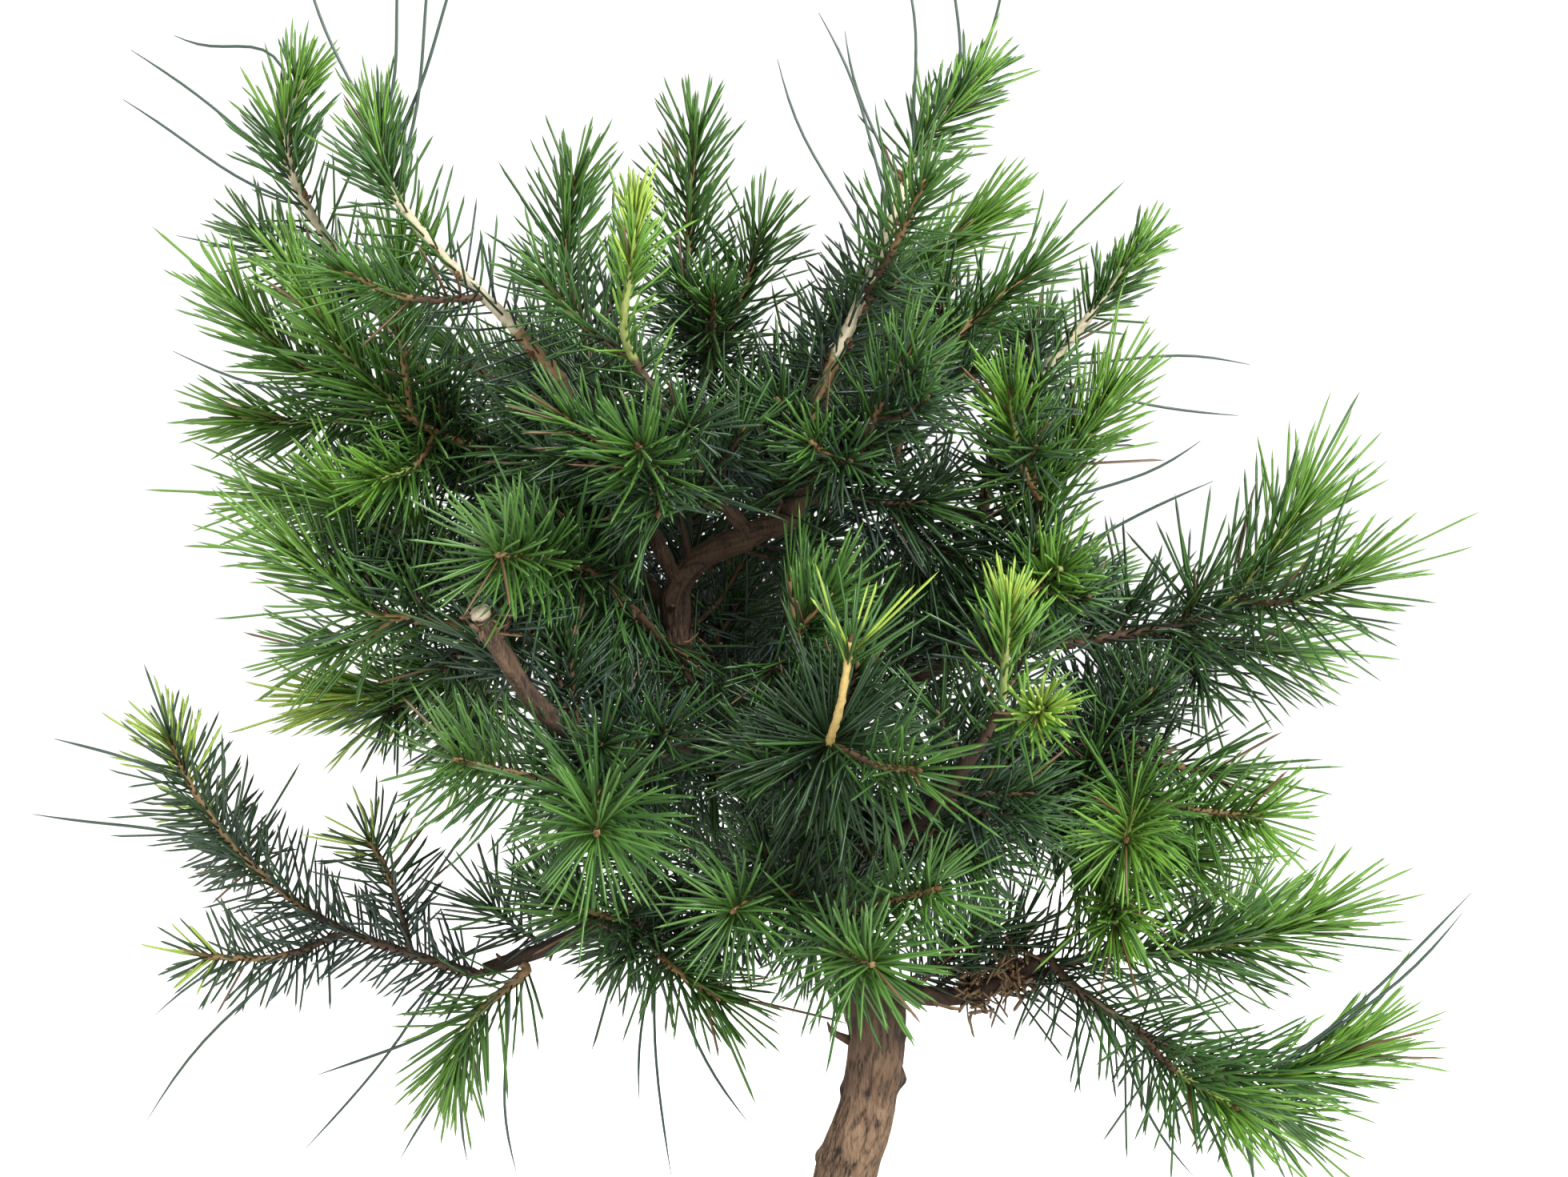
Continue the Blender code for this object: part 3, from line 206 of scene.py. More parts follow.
MASSES: dict[str, Mass] = {
    "left_sweep": Mass(
        "left_low", 1, needle=0.022, twigs=2,
        course=((-0.135, -0.018, 0.212), (-0.168, -0.014, 0.223), (-0.194, -0.008, 0.24),
                (-0.217, 0.0, 0.265), (-0.229, 0.004, 0.289)),
        fork=Fork(0.18, ((-0.149, -0.014, 0.24), (-0.157, -0.012, 0.254))),
    ),
    "left_hang": Mass(
        "left_low", 0.9, needle=0.026,
        course=((-0.117, -0.024, 0.195), (-0.123, -0.024, 0.185), (-0.127, -0.022, 0.173)),
    ),
    "low_front_left": Mass(
        "left_low", 0.48,
        course=((-0.056, -0.045, 0.222), (-0.047, -0.06, 0.215), (-0.033, -0.068, 0.207)),
    ),
    "whorl_front_left": Mass(
        "cut_stub", 0.45, needle=0.032,
        course=((-0.071, -0.095, 0.281), (-0.07, -0.15, 0.274)),
    ),
    "low_front": Mass(
        "front_low", 1,
        course=((-0.004, -0.085, 0.242), (0.006, -0.115, 0.232), (0.016, -0.15, 0.233)),
        fork=Fork(0.15, ((-0.021, -0.095, 0.246), (-0.028, -0.12, 0.245))),
    ),
    "front_heart": Mass(
        "front_mid", 1, needle=0.033,
        course=((0.003, -0.125, 0.301), (0.006, -0.142, 0.314), (0.009, -0.15, 0.334)),
    ),
    "front_small": Mass(
        "front_mid", 0.55,
        course=((-0.006, -0.055, 0.313), (-0.007, -0.072, 0.329), (0.004, -0.082, 0.344)),
    ),
    "right_candle": Mass(
        "right_front", 1,
        course=((0.058, -0.105, 0.31), (0.059, -0.112, 0.326), (0.06, -0.115, 0.344)),
        fork=Fork(0.25, ((0.064, -0.125, 0.307), (0.068, -0.16, 0.314))),
    ),
    "right_star": Mass(
        "right_mid", 0.86,
        course=((0.108, -0.02, 0.268), (0.102, -0.07, 0.261)),
    ),
    "right_drop": Mass(
        "right_mid", 0.72,
        course=((0.096, -0.008, 0.248), (0.101, -0.022, 0.236), (0.101, -0.045, 0.229)),
    ),
    "right_brush": Mass(
        "right_mid", 1,
        course=((0.121, 0.005, 0.278), (0.142, 0.0, 0.274)),
    ),
    "right_low_upper": Mass(
        "right_low", 0.82, needle=0.032, twigs=2,
        course=((0.1, -0.006, 0.212), (0.124, 0.0, 0.211), (0.155, 0.005, 0.216),
                (0.176, 0.005, 0.224)),
    ),
    "right_low_tip": Mass(
        "right_low", 1, needle=0.034, twigs=2,
        course=((0.089, -0.025, 0.203), (0.106, -0.028, 0.192), (0.135, -0.03, 0.176),
                (0.16, -0.028, 0.173), (0.185, -0.025, 0.182)),
    ),
    "right_back": Mass(
        "right_mid", 0.6,
        course=((0.1, 0.05, 0.286), (0.121, 0.06, 0.298), (0.136, 0.062, 0.31)),
    ),
    "right_wing": Mass(
        "right_high", 1, needle=0.036, twigs=2,
        course=((0.118, 0.008, 0.325), (0.14, 0.002, 0.332), (0.154, 0.0, 0.346), (0.168, 0.0, 0.367)),
    ),
    "upper_right_green": Mass(
        "right_high", 0.72, twigs=2,
        course=((0.073, -0.005, 0.345), (0.079, -0.012, 0.376), (0.09, -0.015, 0.392),
                (0.101, -0.015, 0.409)),
    ),
    "right_spire": Mass(
        "upper_right", 1, needle=0.02, twigs=1,
        course=((0.061, 0.018, 0.38), (0.07, 0.02, 0.402), (0.093, 0.02, 0.431), (0.115, 0.02, 0.46)),
    ),
    "inner_right": Mass(
        "upper_right", 0.62, needle=0.025,
        course=((0.028, -0.002, 0.389), (0.036, 0.003, 0.407), (0.05, 0.008, 0.429),
                (0.075, 0.008, 0.451)),
    ),
    "bud_spire": Mass(
        "back_high", 0.8, needle=0.025,
        course=((-0.01, 0.06, 0.4), (0.012, 0.055, 0.43), (0.036, 0.05, 0.452), (0.06, 0.05, 0.471)),
    ),
    "inner_green": Mass(
        "upper_right", 0.34, needle=0.025,
        course=((0.014, -0.032, 0.387), (0.019, -0.045, 0.401), (0.031, -0.05, 0.426)),
    ),
    "top_right_spire": Mass(
        "trunk", 1, needle=0.026, twigs=1,
        course=((0.004, -0.032, 0.417), (0.011, -0.032, 0.433), (0.025, -0.025, 0.467),
                (0.035, -0.015, 0.493), (0.055, -0.005, 0.517)),
    ),
    "top_mid": Mass(
        "back_high", 1, needle=0.026,
        course=((-0.04, 0.066, 0.418), (-0.046, 0.06, 0.446), (-0.046, 0.06, 0.477),
                (-0.044, 0.058, 0.502)),
        fork=Fork(0.3, ((-0.028, 0.065, 0.44), (-0.02, 0.06, 0.466))),
    ),
    "top_left": Mass(
        "upper_left", 0.78, needle=0.026,
        course=((-0.08, 0.005, 0.425), (-0.089, 0.022, 0.456), (-0.086, 0.028, 0.485)),
    ),
    "front_candle": Mass(
        "crest", 1, needle=0.022,
        course=((-0.06, -0.078, 0.419), (-0.064, -0.084, 0.431), (-0.061, -0.088, 0.454),
                (-0.06, -0.088, 0.472)),
    ),
    "upper_left_spire": Mass(
        "upper_left", 1, needle=0.026,
        course=((-0.104, -0.046, 0.433), (-0.13, -0.046, 0.459), (-0.145, -0.04, 0.48),
                (-0.149, -0.036, 0.501)),
    ),
    "far_left_spire": Mass(
        "left_high", 1, needle=0.024, twigs=1,
        course=((-0.152, 0.005, 0.435), (-0.168, 0.0, 0.458), (-0.181, 0.0, 0.48),
                (-0.185, 0.0, 0.499), (-0.179, 0.0, 0.517)),
    ),
    "left_fan": Mass(
        "left_high", 0.88, needle=0.026,
        course=((-0.154, 0.006, 0.406), (-0.173, 0.0, 0.414), (-0.191, -0.005, 0.428),
                (-0.202, -0.008, 0.441)),
    ),
    "left_upright": Mass(
        "left_high", 0.74, needle=0.026,
        course=((-0.138, -0.01, 0.398), (-0.16, -0.02, 0.42), (-0.17, -0.024, 0.435),
                (-0.178, -0.026, 0.45)),
        fork=Fork(0.45, ((-0.143, -0.03, 0.436), (-0.142, -0.032, 0.454))),
    ),
    "left_bright_high": Mass(
        "left_mid", 0.82, needle=0.03, twigs=2,
        course=((-0.135, 0.002, 0.353), (-0.155, 0.01, 0.366), (-0.175, 0.012, 0.37),
                (-0.191, 0.012, 0.372)),
    ),
    "left_bright_low": Mass(
        "left_mid", 1, needle=0.03,
        course=((-0.138, -0.024, 0.331), (-0.154, -0.025, 0.334), (-0.17, -0.026, 0.348),
                (-0.182, -0.026, 0.356)),
    ),
    "left_star": Mass(
        "trunk", 0.74, needle=0.03,
        course=((-0.072, -0.06, 0.347), (-0.088, -0.085, 0.355), (-0.103, -0.118, 0.359)),
    ),
    "left_pale": Mass(
        "left_mid", 0.66,
        course=((-0.12, 0.008, 0.308), (-0.138, 0.008, 0.304), (-0.155, 0.006, 0.302),
                (-0.172, 0.005, 0.301)),
    ),
    "heart_star": Mass(
        "crest", 0.55,
        course=((-0.053, -0.086, 0.383), (-0.058, -0.122, 0.394)),
    ),
    "back_low_left": Mass(
        "back_low", 0.8, twigs=2,
        course=((-0.037, 0.135, 0.228), (-0.092, 0.15, 0.238)),
    ),
    "back_low_right": Mass(
        "back_low", 1, twigs=2,
        course=((0.03, 0.14, 0.232), (0.118, 0.14, 0.246)),
    ),
    "back_mid_left": Mass(
        "back_mid", 0.8, twigs=3,
        course=((-0.08, 0.13, 0.318), (-0.146, 0.124, 0.343)),
    ),
    "back_mid_right": Mass(
        "back_mid", 0.62, twigs=3,
        course=((0.026, 0.115, 0.312), (0.104, 0.126, 0.334)),
    ),
    "back_high_left": Mass(
        "back_high", 0.62, twigs=2,
        course=((-0.064, 0.078, 0.372), (-0.096, 0.104, 0.393), (-0.14, 0.108, 0.424)),
    ),
    "back_high_right": Mass(
        "back_high", 0.9, twigs=2,
        course=((0.006, 0.118, 0.403), (0.068, 0.122, 0.434)),
    ),
    "back_centre": Mass(
        "back_mid", 1, twigs=2,
        course=((-0.029, 0.16, 0.321), (-0.028, 0.212, 0.337)),
    ),
}

# Buttress roots: how many, their relief as a share of the trunk's radius, and the run that they fade over
ROOTS, ROOT_RELIEF, ROOT_RISE = 5, 0.16, 0.026

# Radii of stems and of side twigs at root and tip, the foot that is bare of needles, and the reading step
STEM_ROOT, STEM_TIP = 1.7 * MM, 1.1 * MM
TWIG_ROOT, TWIG_TIP = 1.3 * MM, 1.0 * MM
BARE_FOOT = 6 * MM
STEP = 1 * MM

# Side twigs: where they leave the stem, their angle off it, their length and the room that they need
TWIG_SHARES = (0.34, 0.6, 0.16, 0.8)
TWIG_ANGLE = math.radians(52)
TWIG_LENGTH_SHARE, TWIG_LEAST, TWIG_MOST = 0.5, 0.026, 0.050
TWIG_LENGTH_SPREAD = (0.85, 1.15)
TWIG_ROOM = 0.013
TWIG_TURNS, TWIG_TURN_SPREAD = (-40, 0, 40), (-12, 12)
TWIG_BEND, TWIG_RISE = 0.35, 0.2
TWIG_NEEDLE = 0.9  # length of a twig's needles against the stem's

# A gap in the front of the crown that shows the bent leader: from and to along x, y and z
WINDOW = ((-0.056, -0.014), (-0.200, -0.010), (0.322, 0.368))

# Clumps of dry scales: the limb, the share of it, the spread of the clump and how many scales it has
DRY_CLUMPS = (
    ("right_low", 0.62, 0.0034, 90),
    ("right_low", 0.84, 0.0040, 130),
    ("right_mid", 1.00, 0.0042, 130),
    ("cut_stub", 0.25, 0.0040, 60),
    ("cut_stub", 0.97, 0.0022, 26),
    ("left_low", 0.45, 0.0050, 60),
    ("trunk", 0.72, 0.0070, 80),
    ("back_low", 0.60, 0.0050, 60),
)

# Dead stubs that the photograph shows: the points of each, and its radii in millimetres
DEAD_STUBS = (
    (
        (
            (0.012, -0.001, 0.180), (0.0075, -0.003, 0.1825),
            (0.0045, -0.004, 0.1845), (0.0035, -0.004, 0.1875),
        ),
        (1.9, 1.3, 0.9, 0.3),
    ),
    (((-0.008, -0.027, 0.392), (-0.012, -0.030, 0.397), (-0.016, -0.031, 0.399)), (1.5, 1.2, 0.9)),
)

# Short spikes: how many sides they have, and the runs and radii of each kind in millimetres
SPIKE_SIDES = 6
END_BUD = ((-1.0, 0.4, 1.6, 2.8), (0.8, 1.05, 0.8, 0.12))
SIDE_BUD = ((0.8, 2.4, 3.8, 4.8), (0.6, 0.9, 0.7, 0.1))


class Tone(Enum):
    """Colours of needles, from the oldest to the newest, and the dead ones."""

    OLD = "#33463a"
    DARK = "#2b4526"
    GREEN = "#3a5f28"
    FRESH = "#4a722c"
    BRIGHT = "#5f8a2f"
    LIME = "#8faa41"
    DEAD = "#675037"


class Rind(Enum):
    """Colours of shoots, from the oldest wood to a new candle, and of dry buds."""

    BROWN = "#5c4330"
    TAN = "#98784f"
    CREAM = "#d8ccab"
    GREENISH = "#98a458"
    CANDLE = "#d3b56c"
    BUD = "#70502f"


@dataclass(frozen=True)
class Habit:
    """How one kind of shoot carries its needles.

    pitch is the run of stem per needle, in millimetres, up to brush_from and brush_pitch beyond it. leans are
    degrees out from the stem at its foot, where the brush starts and at its tip. lengths are the needles'
    share of full length at the same places. tones go from the foot to the tip. rinds change over at
    rind_split. bare is a stretch with no needles, as shares of the stem. stout is how much thicker the stem
    is than the plain one.
    """

    pitch: float = 0.66
    brush_from: float = 0.62
    brush_pitch: float = 0.42
    leans: tuple = (70, 54, 26)
    lengths: tuple = (0.85, 1.0, 0.82)
    tones: tuple = (Tone.DARK, Tone.GREEN, Tone.FRESH)
    rinds: tuple = (Rind.BROWN, Rind.TAN)
    rind_split: float = 0.5
    bare: tuple = (0.0, 0.0)
    stout: float = 1.0


BUSHY = Habit()
OLD_SWEEP = Habit(
    pitch=0.52, brush_from=0.86, brush_pitch=0.30, leans=(68, 64, 30), lengths=(0.9, 1.0, 0.8),
    tones=(Tone.OLD, Tone.DARK, Tone.LIME), rind_split=0.45,
)
SPIRE = Habit(
    pitch=1.3, brush_from=0.72, brush_pitch=0.27, leans=(64, 50, 24), lengths=(1.0, 0.9, 0.7),
    tones=(Tone.OLD, Tone.GREEN, Tone.BRIGHT), rinds=(Rind.TAN, Rind.CREAM), rind_split=0.2, stout=1.35,
)
WING = Habit(
    pitch=0.62, brush_from=0.5, brush_pitch=0.40, leans=(72, 50, 20), lengths=(0.7, 1.0, 0.92),
    tones=(Tone.DARK, Tone.GREEN, Tone.BRIGHT), rinds=(Rind.BROWN, Rind.GREENISH), rind_split=0.55,
)
FRESH = Habit(
    brush_from=0.45, brush_pitch=0.38, leans=(66, 48, 22), lengths=(0.9, 1.0, 0.9),
    tones=(Tone.GREEN, Tone.FRESH, Tone.BRIGHT), rinds=(Rind.TAN, Rind.GREENISH),
)
PALE = Habit(
    pitch=0.6, brush_from=0.4, brush_pitch=0.28, leans=(62, 46, 22), lengths=(0.8, 1.0, 0.8),
    tones=(Tone.FRESH, Tone.BRIGHT, Tone.LIME), rinds=(Rind.TAN, Rind.GREENISH), rind_split=0.3,
)
STAR = Habit(pitch=0.55, brush_from=0.6, brush_pitch=0.32, leans=(76, 66, 50), lengths=(0.9, 1.0, 0.9))
BRIGHT_STAR = Habit(
    pitch=0.55, brush_from=0.5, brush_pitch=0.32, leans=(74, 62, 44), lengths=(0.9, 1.0, 0.9),
    tones=(Tone.GREEN, Tone.FRESH, Tone.BRIGHT),
)
WHORL_CANDLE = Habit(
    pitch=0.20, brush_from=0.96, brush_pitch=0.6, leans=(82, 40, 22), lengths=(1.0, 0.9, 0.75),
    tones=(Tone.DARK, Tone.GREEN, Tone.LIME), rinds=(Rind.TAN, Rind.CANDLE), rind_split=0.30,
    bare=(0.42, 0.90),
)
TUFT = Habit(
    pitch=1.2, brush_from=0.66, brush_pitch=0.30, leans=(60, 44, 20), lengths=(0.8, 0.75, 0.5),
    tones=(Tone.GREEN, Tone.BRIGHT, Tone.LIME), rinds=(Rind.BROWN, Rind.GREENISH), rind_split=0.35,
)
# Inner shoots of the heart: older needles, darker than bushy ones partly by their age and partly as painted
# shade of the crown's heart
HEART = Habit(
    pitch=0.6, brush_from=0.7, brush_pitch=0.4, leans=(66, 56, 30), lengths=(0.9, 1.0, 0.85),
    tones=(Tone.OLD, Tone.DARK, Tone.GREEN), rinds=(Rind.BROWN, Rind.BROWN),
)

# Habits of the masses that aren't plain bushy ones
HABITS = {
    "left_sweep": OLD_SWEEP,
    "left_hang": FRESH,
    "whorl_front_left": STAR,
    "low_front": STAR,
    "front_heart": WHORL_CANDLE,
    "right_candle": TUFT,
    "right_star": BRIGHT_STAR,
    "right_drop": FRESH,
    "right_low_upper": WING,
    "right_low_tip": WING,
    "right_wing": WING,
    "upper_right_green": FRESH,
    "right_spire": SPIRE,
    "bud_spire": FRESH,
    "top_right_spire": SPIRE,
    "front_candle": TUFT,
    "upper_left_spire": SPIRE,
    "far_left_spire": SPIRE,
    "left_fan": FRESH,
    "left_upright": FRESH,
    "left_bright_high": FRESH,
    "left_bright_low": FRESH,
    "left_pale": PALE,
    "left_star": STAR,
}


@dataclass(frozen=True)
class LongNeedle:
    """A needle that reaches far past its brush: its mass, its place on the stem, its tip and its length."""

    mass: str
    share: float
    tip: tuple
    length: float


LONG_NEEDLES = (
    LongNeedle("far_left_spire", 0.70, (-0.238, 0.000, 0.527), 0.070),
    LongNeedle("far_left_spire", 0.64, (-0.241, 0.000, 0.510), 0.065),
    LongNeedle("far_left_spire", 0.95, (-0.223, 0.000, 0.532), 0.050),
    LongNeedle("far_left_spire", 0.31, (-0.223, 0.000, 0.463), 0.055),
    LongNeedle("left_upright", 0.46, (-0.221, -0.022, 0.423), 0.053),
    LongNeedle("upper_left_spire", 0.94, (-0.141, -0.037, 0.557), 0.062),
    LongNeedle("upper_left_spire", 0.87, (-0.121, -0.038, 0.554), 0.069),
    LongNeedle("upper_left_spire", 0.96, (-0.173, -0.037, 0.552), 0.060),
    LongNeedle("upper_left_spire", 0.77, (-0.130, -0.040, 0.559), 0.078),
    LongNeedle("top_right_spire", 0.45, (-0.014, -0.026, 0.522), 0.070),
    LongNeedle("top_right_spire", 0.56, (0.000, -0.022, 0.538), 0.069),
    LongNeedle("top_right_spire", 0.63, (0.009, -0.019, 0.532), 0.054),
    LongNeedle("top_right_spire", 0.73, (0.029, -0.015, 0.556), 0.063),
    LongNeedle("top_right_spire", 0.92, (0.045, -0.008, 0.560), 0.049),
    LongNeedle("top_right_spire", 0.97, (0.065, -0.006, 0.556), 0.043),
    LongNeedle("right_spire", 0.55, (0.153, 0.020, 0.418), 0.060),
    LongNeedle("right_spire", 0.51, (0.149, 0.020, 0.400), 0.058),
    LongNeedle("upper_right_green", 0.59, (0.132, -0.014, 0.392), 0.048),
    LongNeedle("upper_right_green", 0.31, (0.137, -0.010, 0.378), 0.058),
    LongNeedle("right_wing", 0.22, (0.174, 0.004, 0.301), 0.044),
    LongNeedle("right_low_tip", 0.72, (0.225, -0.028, 0.237), 0.093),
    LongNeedle("right_low_tip", 0.75, (0.222, -0.028, 0.230), 0.084),
    LongNeedle("right_low_tip", 0.23, (0.130, -0.028, 0.138), 0.054),
    LongNeedle("left_sweep", 0.65, (-0.275, -0.004, 0.261), 0.065),
    LongNeedle("left_sweep", 0.86, (-0.268, 0.001, 0.287), 0.046),
    LongNeedle("left_sweep", 0.41, (-0.232, -0.011, 0.191), 0.056),
    LongNeedle("left_sweep", 0.39, (-0.235, -0.011, 0.154), 0.083),
    LongNeedle("left_sweep", 0.10, (-0.179, -0.017, 0.145), 0.080),
    LongNeedle("left_hang", 0.33, (-0.174, -0.021, 0.172), 0.058),
    LongNeedle("left_hang", 0.66, (-0.145, -0.022, 0.143), 0.046),
    LongNeedle("left_hang", 0.66, (-0.122, -0.022, 0.142), 0.042),
    LongNeedle("left_hang", 0.25, (-0.105, -0.021, 0.138), 0.059),
    LongNeedle("left_bright_low", 0.30, (-0.192, -0.024, 0.322), 0.030),
    LongNeedle("low_front_left", 0.30, (-0.050, -0.054, 0.144), 0.074),
    LongNeedle("low_front_left", 0.50, (-0.024, -0.060, 0.164), 0.056),
    LongNeedle("low_front_left", 0.63, (-0.014, -0.062, 0.198), 0.033),
    LongNeedle("low_front_left", 0.18, (-0.061, -0.050, 0.169), 0.051),
)


class Course:
    """A smooth line through a few points, read by the length run along it."""

    STEPS = 12  # straight pieces between two of the points

    def __init__(self, points: list) -> None:
        """Runs a smooth line through the points.

        Args:
            points: The points, from the start to the end.
        """
        given = [Vector(point) for point in points]
        knots = [2 * given[0] - given[1], *given, 2 * given[-1] - given[-2]]
        line = [given[0]]
        for first, start, end, last in zip(knots, knots[1:], knots[2:], knots[3:]):
            line += [between(first, start, end, last, step / self.STEPS) for step in range(1, self.STEPS + 1)]
        self.line = np.array(line, float)
        lengths = np.linalg.norm(np.diff(self.line, axis=0), axis=1)
        self.runs = np.concatenate(([0.0], np.cumsum(lengths)))
        self.length = float(self.runs[-1])
        self.first_heading = (given[1] - given[0]).normalized()
        self.last_heading = (given[-1] - given[-2]).normalized()

    def places(self, runs: np.ndarray) -> np.ndarray:
        """Points at many runs at once."""
        return np.stack([np.interp(runs, self.runs, self.line[:, axis]) for axis in range(3)], axis=1)

    def headings(self, runs: np.ndarray) -> np.ndarray:
        """Unit headings at many runs at once.

        Args:
            runs: How far along the course each one is.

        Returns:
            The headings, one row each.
        """
        ahead = self.places(np.minimum(runs + STEP, self.length))
        behind = self.places(np.maximum(runs - STEP, 0))
        return unit(ahead - behind)

    def at(self, run: float) -> Vector:
        """The point at one run."""
        return Vector(self.places(np.array([run]))[0])

    def heading(self, run: float) -> Vector:
        """The heading at one run, exact at both ends.

        Args:
            run: How far along the course it is.

        Returns:
            The heading, of length one.
        """
        if run <= 0:
            return self.first_heading
        if run >= self.length:
            return self.last_heading
        return Vector(self.headings(np.array([run]))[0])

    def marks(self, spacing: float) -> np.ndarray:
        """Runs from the start to the end, evenly spaced at no more than the spacing."""
        return np.linspace(0, self.length, math.ceil(self.length / spacing) + 1)


class Limb:
    """The trunk or a bough: its course and its radius along it."""

    def __init__(self, points: list, radii: list) -> None:
        """Keeps the course and where each radius holds.

        Args:
            points: The points that the middle line runs through.
            radii: A radius for each point, or one for each end.
        """
        self.course = Course(points)
        self.radii = radii
        self.stops = self.course.runs[:: Course.STEPS] if len(radii) > 2 else [0, self.course.length]

    def radius(self, runs: np.ndarray) -> np.ndarray:
        """The radius at each run."""
        return np.interp(runs, self.stops, self.radii)


@dataclass
class Shoot:
    """A stem, a fork of one or a twig: its course, its radii and the length and habit of its needles."""

    course: Course
    root: float
    tip: float
    needle: float
    habit: Habit


def between(first: Vector, start: Vector, end: Vector, last: Vector, share: float) -> Vector:
    """A point on the smooth curve between two points of a line.

    Args:
        first: The point before the start.
        start: Where this part of the curve starts.
        end: Where it ends.
        last: The point after the end.
        share: How far along this part the wanted point is, from 0 to 1.

    Returns:
        The point.
    """
    square, cube = share * share, share * share * share
    return (
        start * 2
        + (end - first) * share
        + (first * 2 - start * 5 + end * 4 - last) * square
        + (start * 3 - first - end * 3 + last) * cube
    ) / 2


def unit(vectors: np.ndarray) -> np.ndarray:
    """The vectors at length one."""
    return vectors / np.maximum(np.linalg.norm(vectors, axis=-1, keepdims=True), 1e-9)


def tree_of(points: np.ndarray | list) -> KDTree:
    """A search tree over points.

    Args:
        points: The points, which it finds by their place in this list.

    Returns:
        The tree, ready for searches.
    """
    tree = KDTree(len(points))
    for index, point in enumerate(points):
        tree.insert(point, index)
    tree.balance()
    return tree


def sides_along(headings: np.ndarray) -> np.ndarray:
    """Sideways unit vectors that don't spin round a line.

    Args:
        headings: The line's headings, one row each.

    Returns:
        A vector square to each heading.
    """
    side = np.array(Vector(headings[0]).orthogonal().normalized())
    sides = []
    for heading in headings:
        side = side - heading * float(side @ heading)
        side = side / np.linalg.norm(side)
        sides.append(side)
    return np.array(sides)


def in_window(point: Vector | np.ndarray) -> bool:
    """Whether a point is in the gap in front of the bent leader."""
    return all(low < value < high for value, (low, high) in zip(point, WINDOW))


def grid_triangles(rows: int, columns: int) -> np.ndarray:
    """Triangles between the rings of an open tube.

    Args:
        rows: How many rings it has.
        columns: How many points a ring has.

    Returns:
        The triangles, for points that are numbered ring after ring.
    """
    row, column = np.meshgrid(np.arange(rows - 1), np.arange(columns), indexing="ij")
    near = row * columns + column
    beside = row * columns + (column + 1) % columns
    lower = np.stack((near, beside, beside + columns), axis=-1).reshape(-1, 3)
    upper = np.stack((near, beside + columns, near + columns), axis=-1).reshape(-1, 3)
    return np.concatenate((lower, upper))


def closed_triangles(rows: int, columns: int) -> np.ndarray:
    """Triangles of a tube that is closed by a fan at each end.

    Args:
        rows: How many rings it has.
        columns: How many points a ring has.

    Returns:
        The triangles, for points that are numbered ring after ring.
    """
    last = (rows - 1) * columns
    fans = [(0, side + 1, side) for side in range(1, columns - 1)]
    fans += [(last, last + side, last + side + 1) for side in range(1, columns - 1)]
    return np.concatenate((grid_triangles(rows, columns), np.array(fans)))


def build_mesh(
    name: str, vertices: np.ndarray, triangles: np.ndarray, material: bpy.types.Material, smooth: bool = True
) -> bpy.types.Object:
    """An object of the given triangles that rides on the tree's body.

    Args:
        name: The piece's name.
        vertices: Its points.
        triangles: Its faces.
        material: Its finish.
        smooth: Whether it is shaded smooth.

    Returns:
        The object, linked into the scene.
    """
    mesh = bpy.data.meshes.new(name)
    mesh.vertices.add(len(vertices))
    mesh.vertices.foreach_set("co", vertices.astype(np.float32).ravel())
    mesh.loops.add(triangles.size)
    mesh.loops.foreach_set("vertex_index", triangles.astype(np.int32).ravel())
    mesh.polygons.add(len(triangles))
    mesh.polygons.foreach_set("loop_start", np.arange(0, triangles.size, 3, dtype=np.int32))
    mesh.update(calc_edges=True)
    if smooth:
        mesh.shade_smooth()
    mesh.materials.append(material)
    obj = bpy.data.objects.new(name, mesh)
    bpy.context.scene.collection.objects.link(obj)
    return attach(obj, BODY)


class Skin:
    """Triangles gathered from many small shapes, to become one mesh."""

    def __init__(self) -> None:
        """Starts empty."""
        self.vertices: list[np.ndarray] = []
        self.triangles: list[np.ndarray] = []
        self.count = 0

    def add(self, vertices: np.ndarray, triangles: np.ndarray) -> None:
        """Adds a shape.

        Args:
            vertices: Its points, one row each.
            triangles: Its faces, numbered from its own first point.
        """
        self.vertices.append(vertices)
        self.triangles.append(triangles + self.count)
        self.count += len(vertices)

    def tube(self, places: np.ndarray, radii: np.ndarray, sides: int) -> None:
        """Adds a closed tube along a line.

        Args:
            places: The line's points.
            radii: Its radius at each point, or at each point and side.
            sides: How many sides it has.
        """
        headings = unit(np.gradient(places, axis=0))
        across = sides_along(headings)
        third = np.cross(headings, across)
        angles = np.arange(sides) * math.tau / sides
        radii = radii[:, None] if radii.ndim == 1 else radii
        around = across[:, None] * np.cos(angles)[:, None] + third[:, None] * np.sin(angles)[:, None]
        vertices = (places[:, None] + around * radii[..., None]).reshape(-1, 3)
        self.add(vertices, closed_triangles(len(places), sides))

    def spike(self, start: np.ndarray, way: np.ndarray, shape: tuple) -> None:
        """Adds a short straight spike.

        Args:
            start: The point that its runs are counted from.
            way: The way that it points.
            shape: Its runs and its radii, in millimetres.
        """
        runs, radii = (np.array(values) for values in shape)
        self.tube(start + way * runs[:, None] * MM, radii * MM, SPIKE_SIDES)

    def build(self, name: str, material: bpy.types.Material, smooth: bool = True) -> bpy.types.Object:
        """One object of all that was added, riding on the tree."""
        vertices, triangles = np.concatenate(self.vertices), np.concatenate(self.triangles)
        return build_mesh(name, vertices, triangles, material, smooth)


# Sockets of a colour mix, its data type, and the mesh layer that carries the bark's relief and its painted
# crown shade
MIX_FACTOR, MIX_A, MIX_B, MIX_RESULT = 0, 6, 7, 2
COLOUR_MIX = "RGBA"
BARK_ATTRIBUTE = "bark_relief_and_crown_shade"


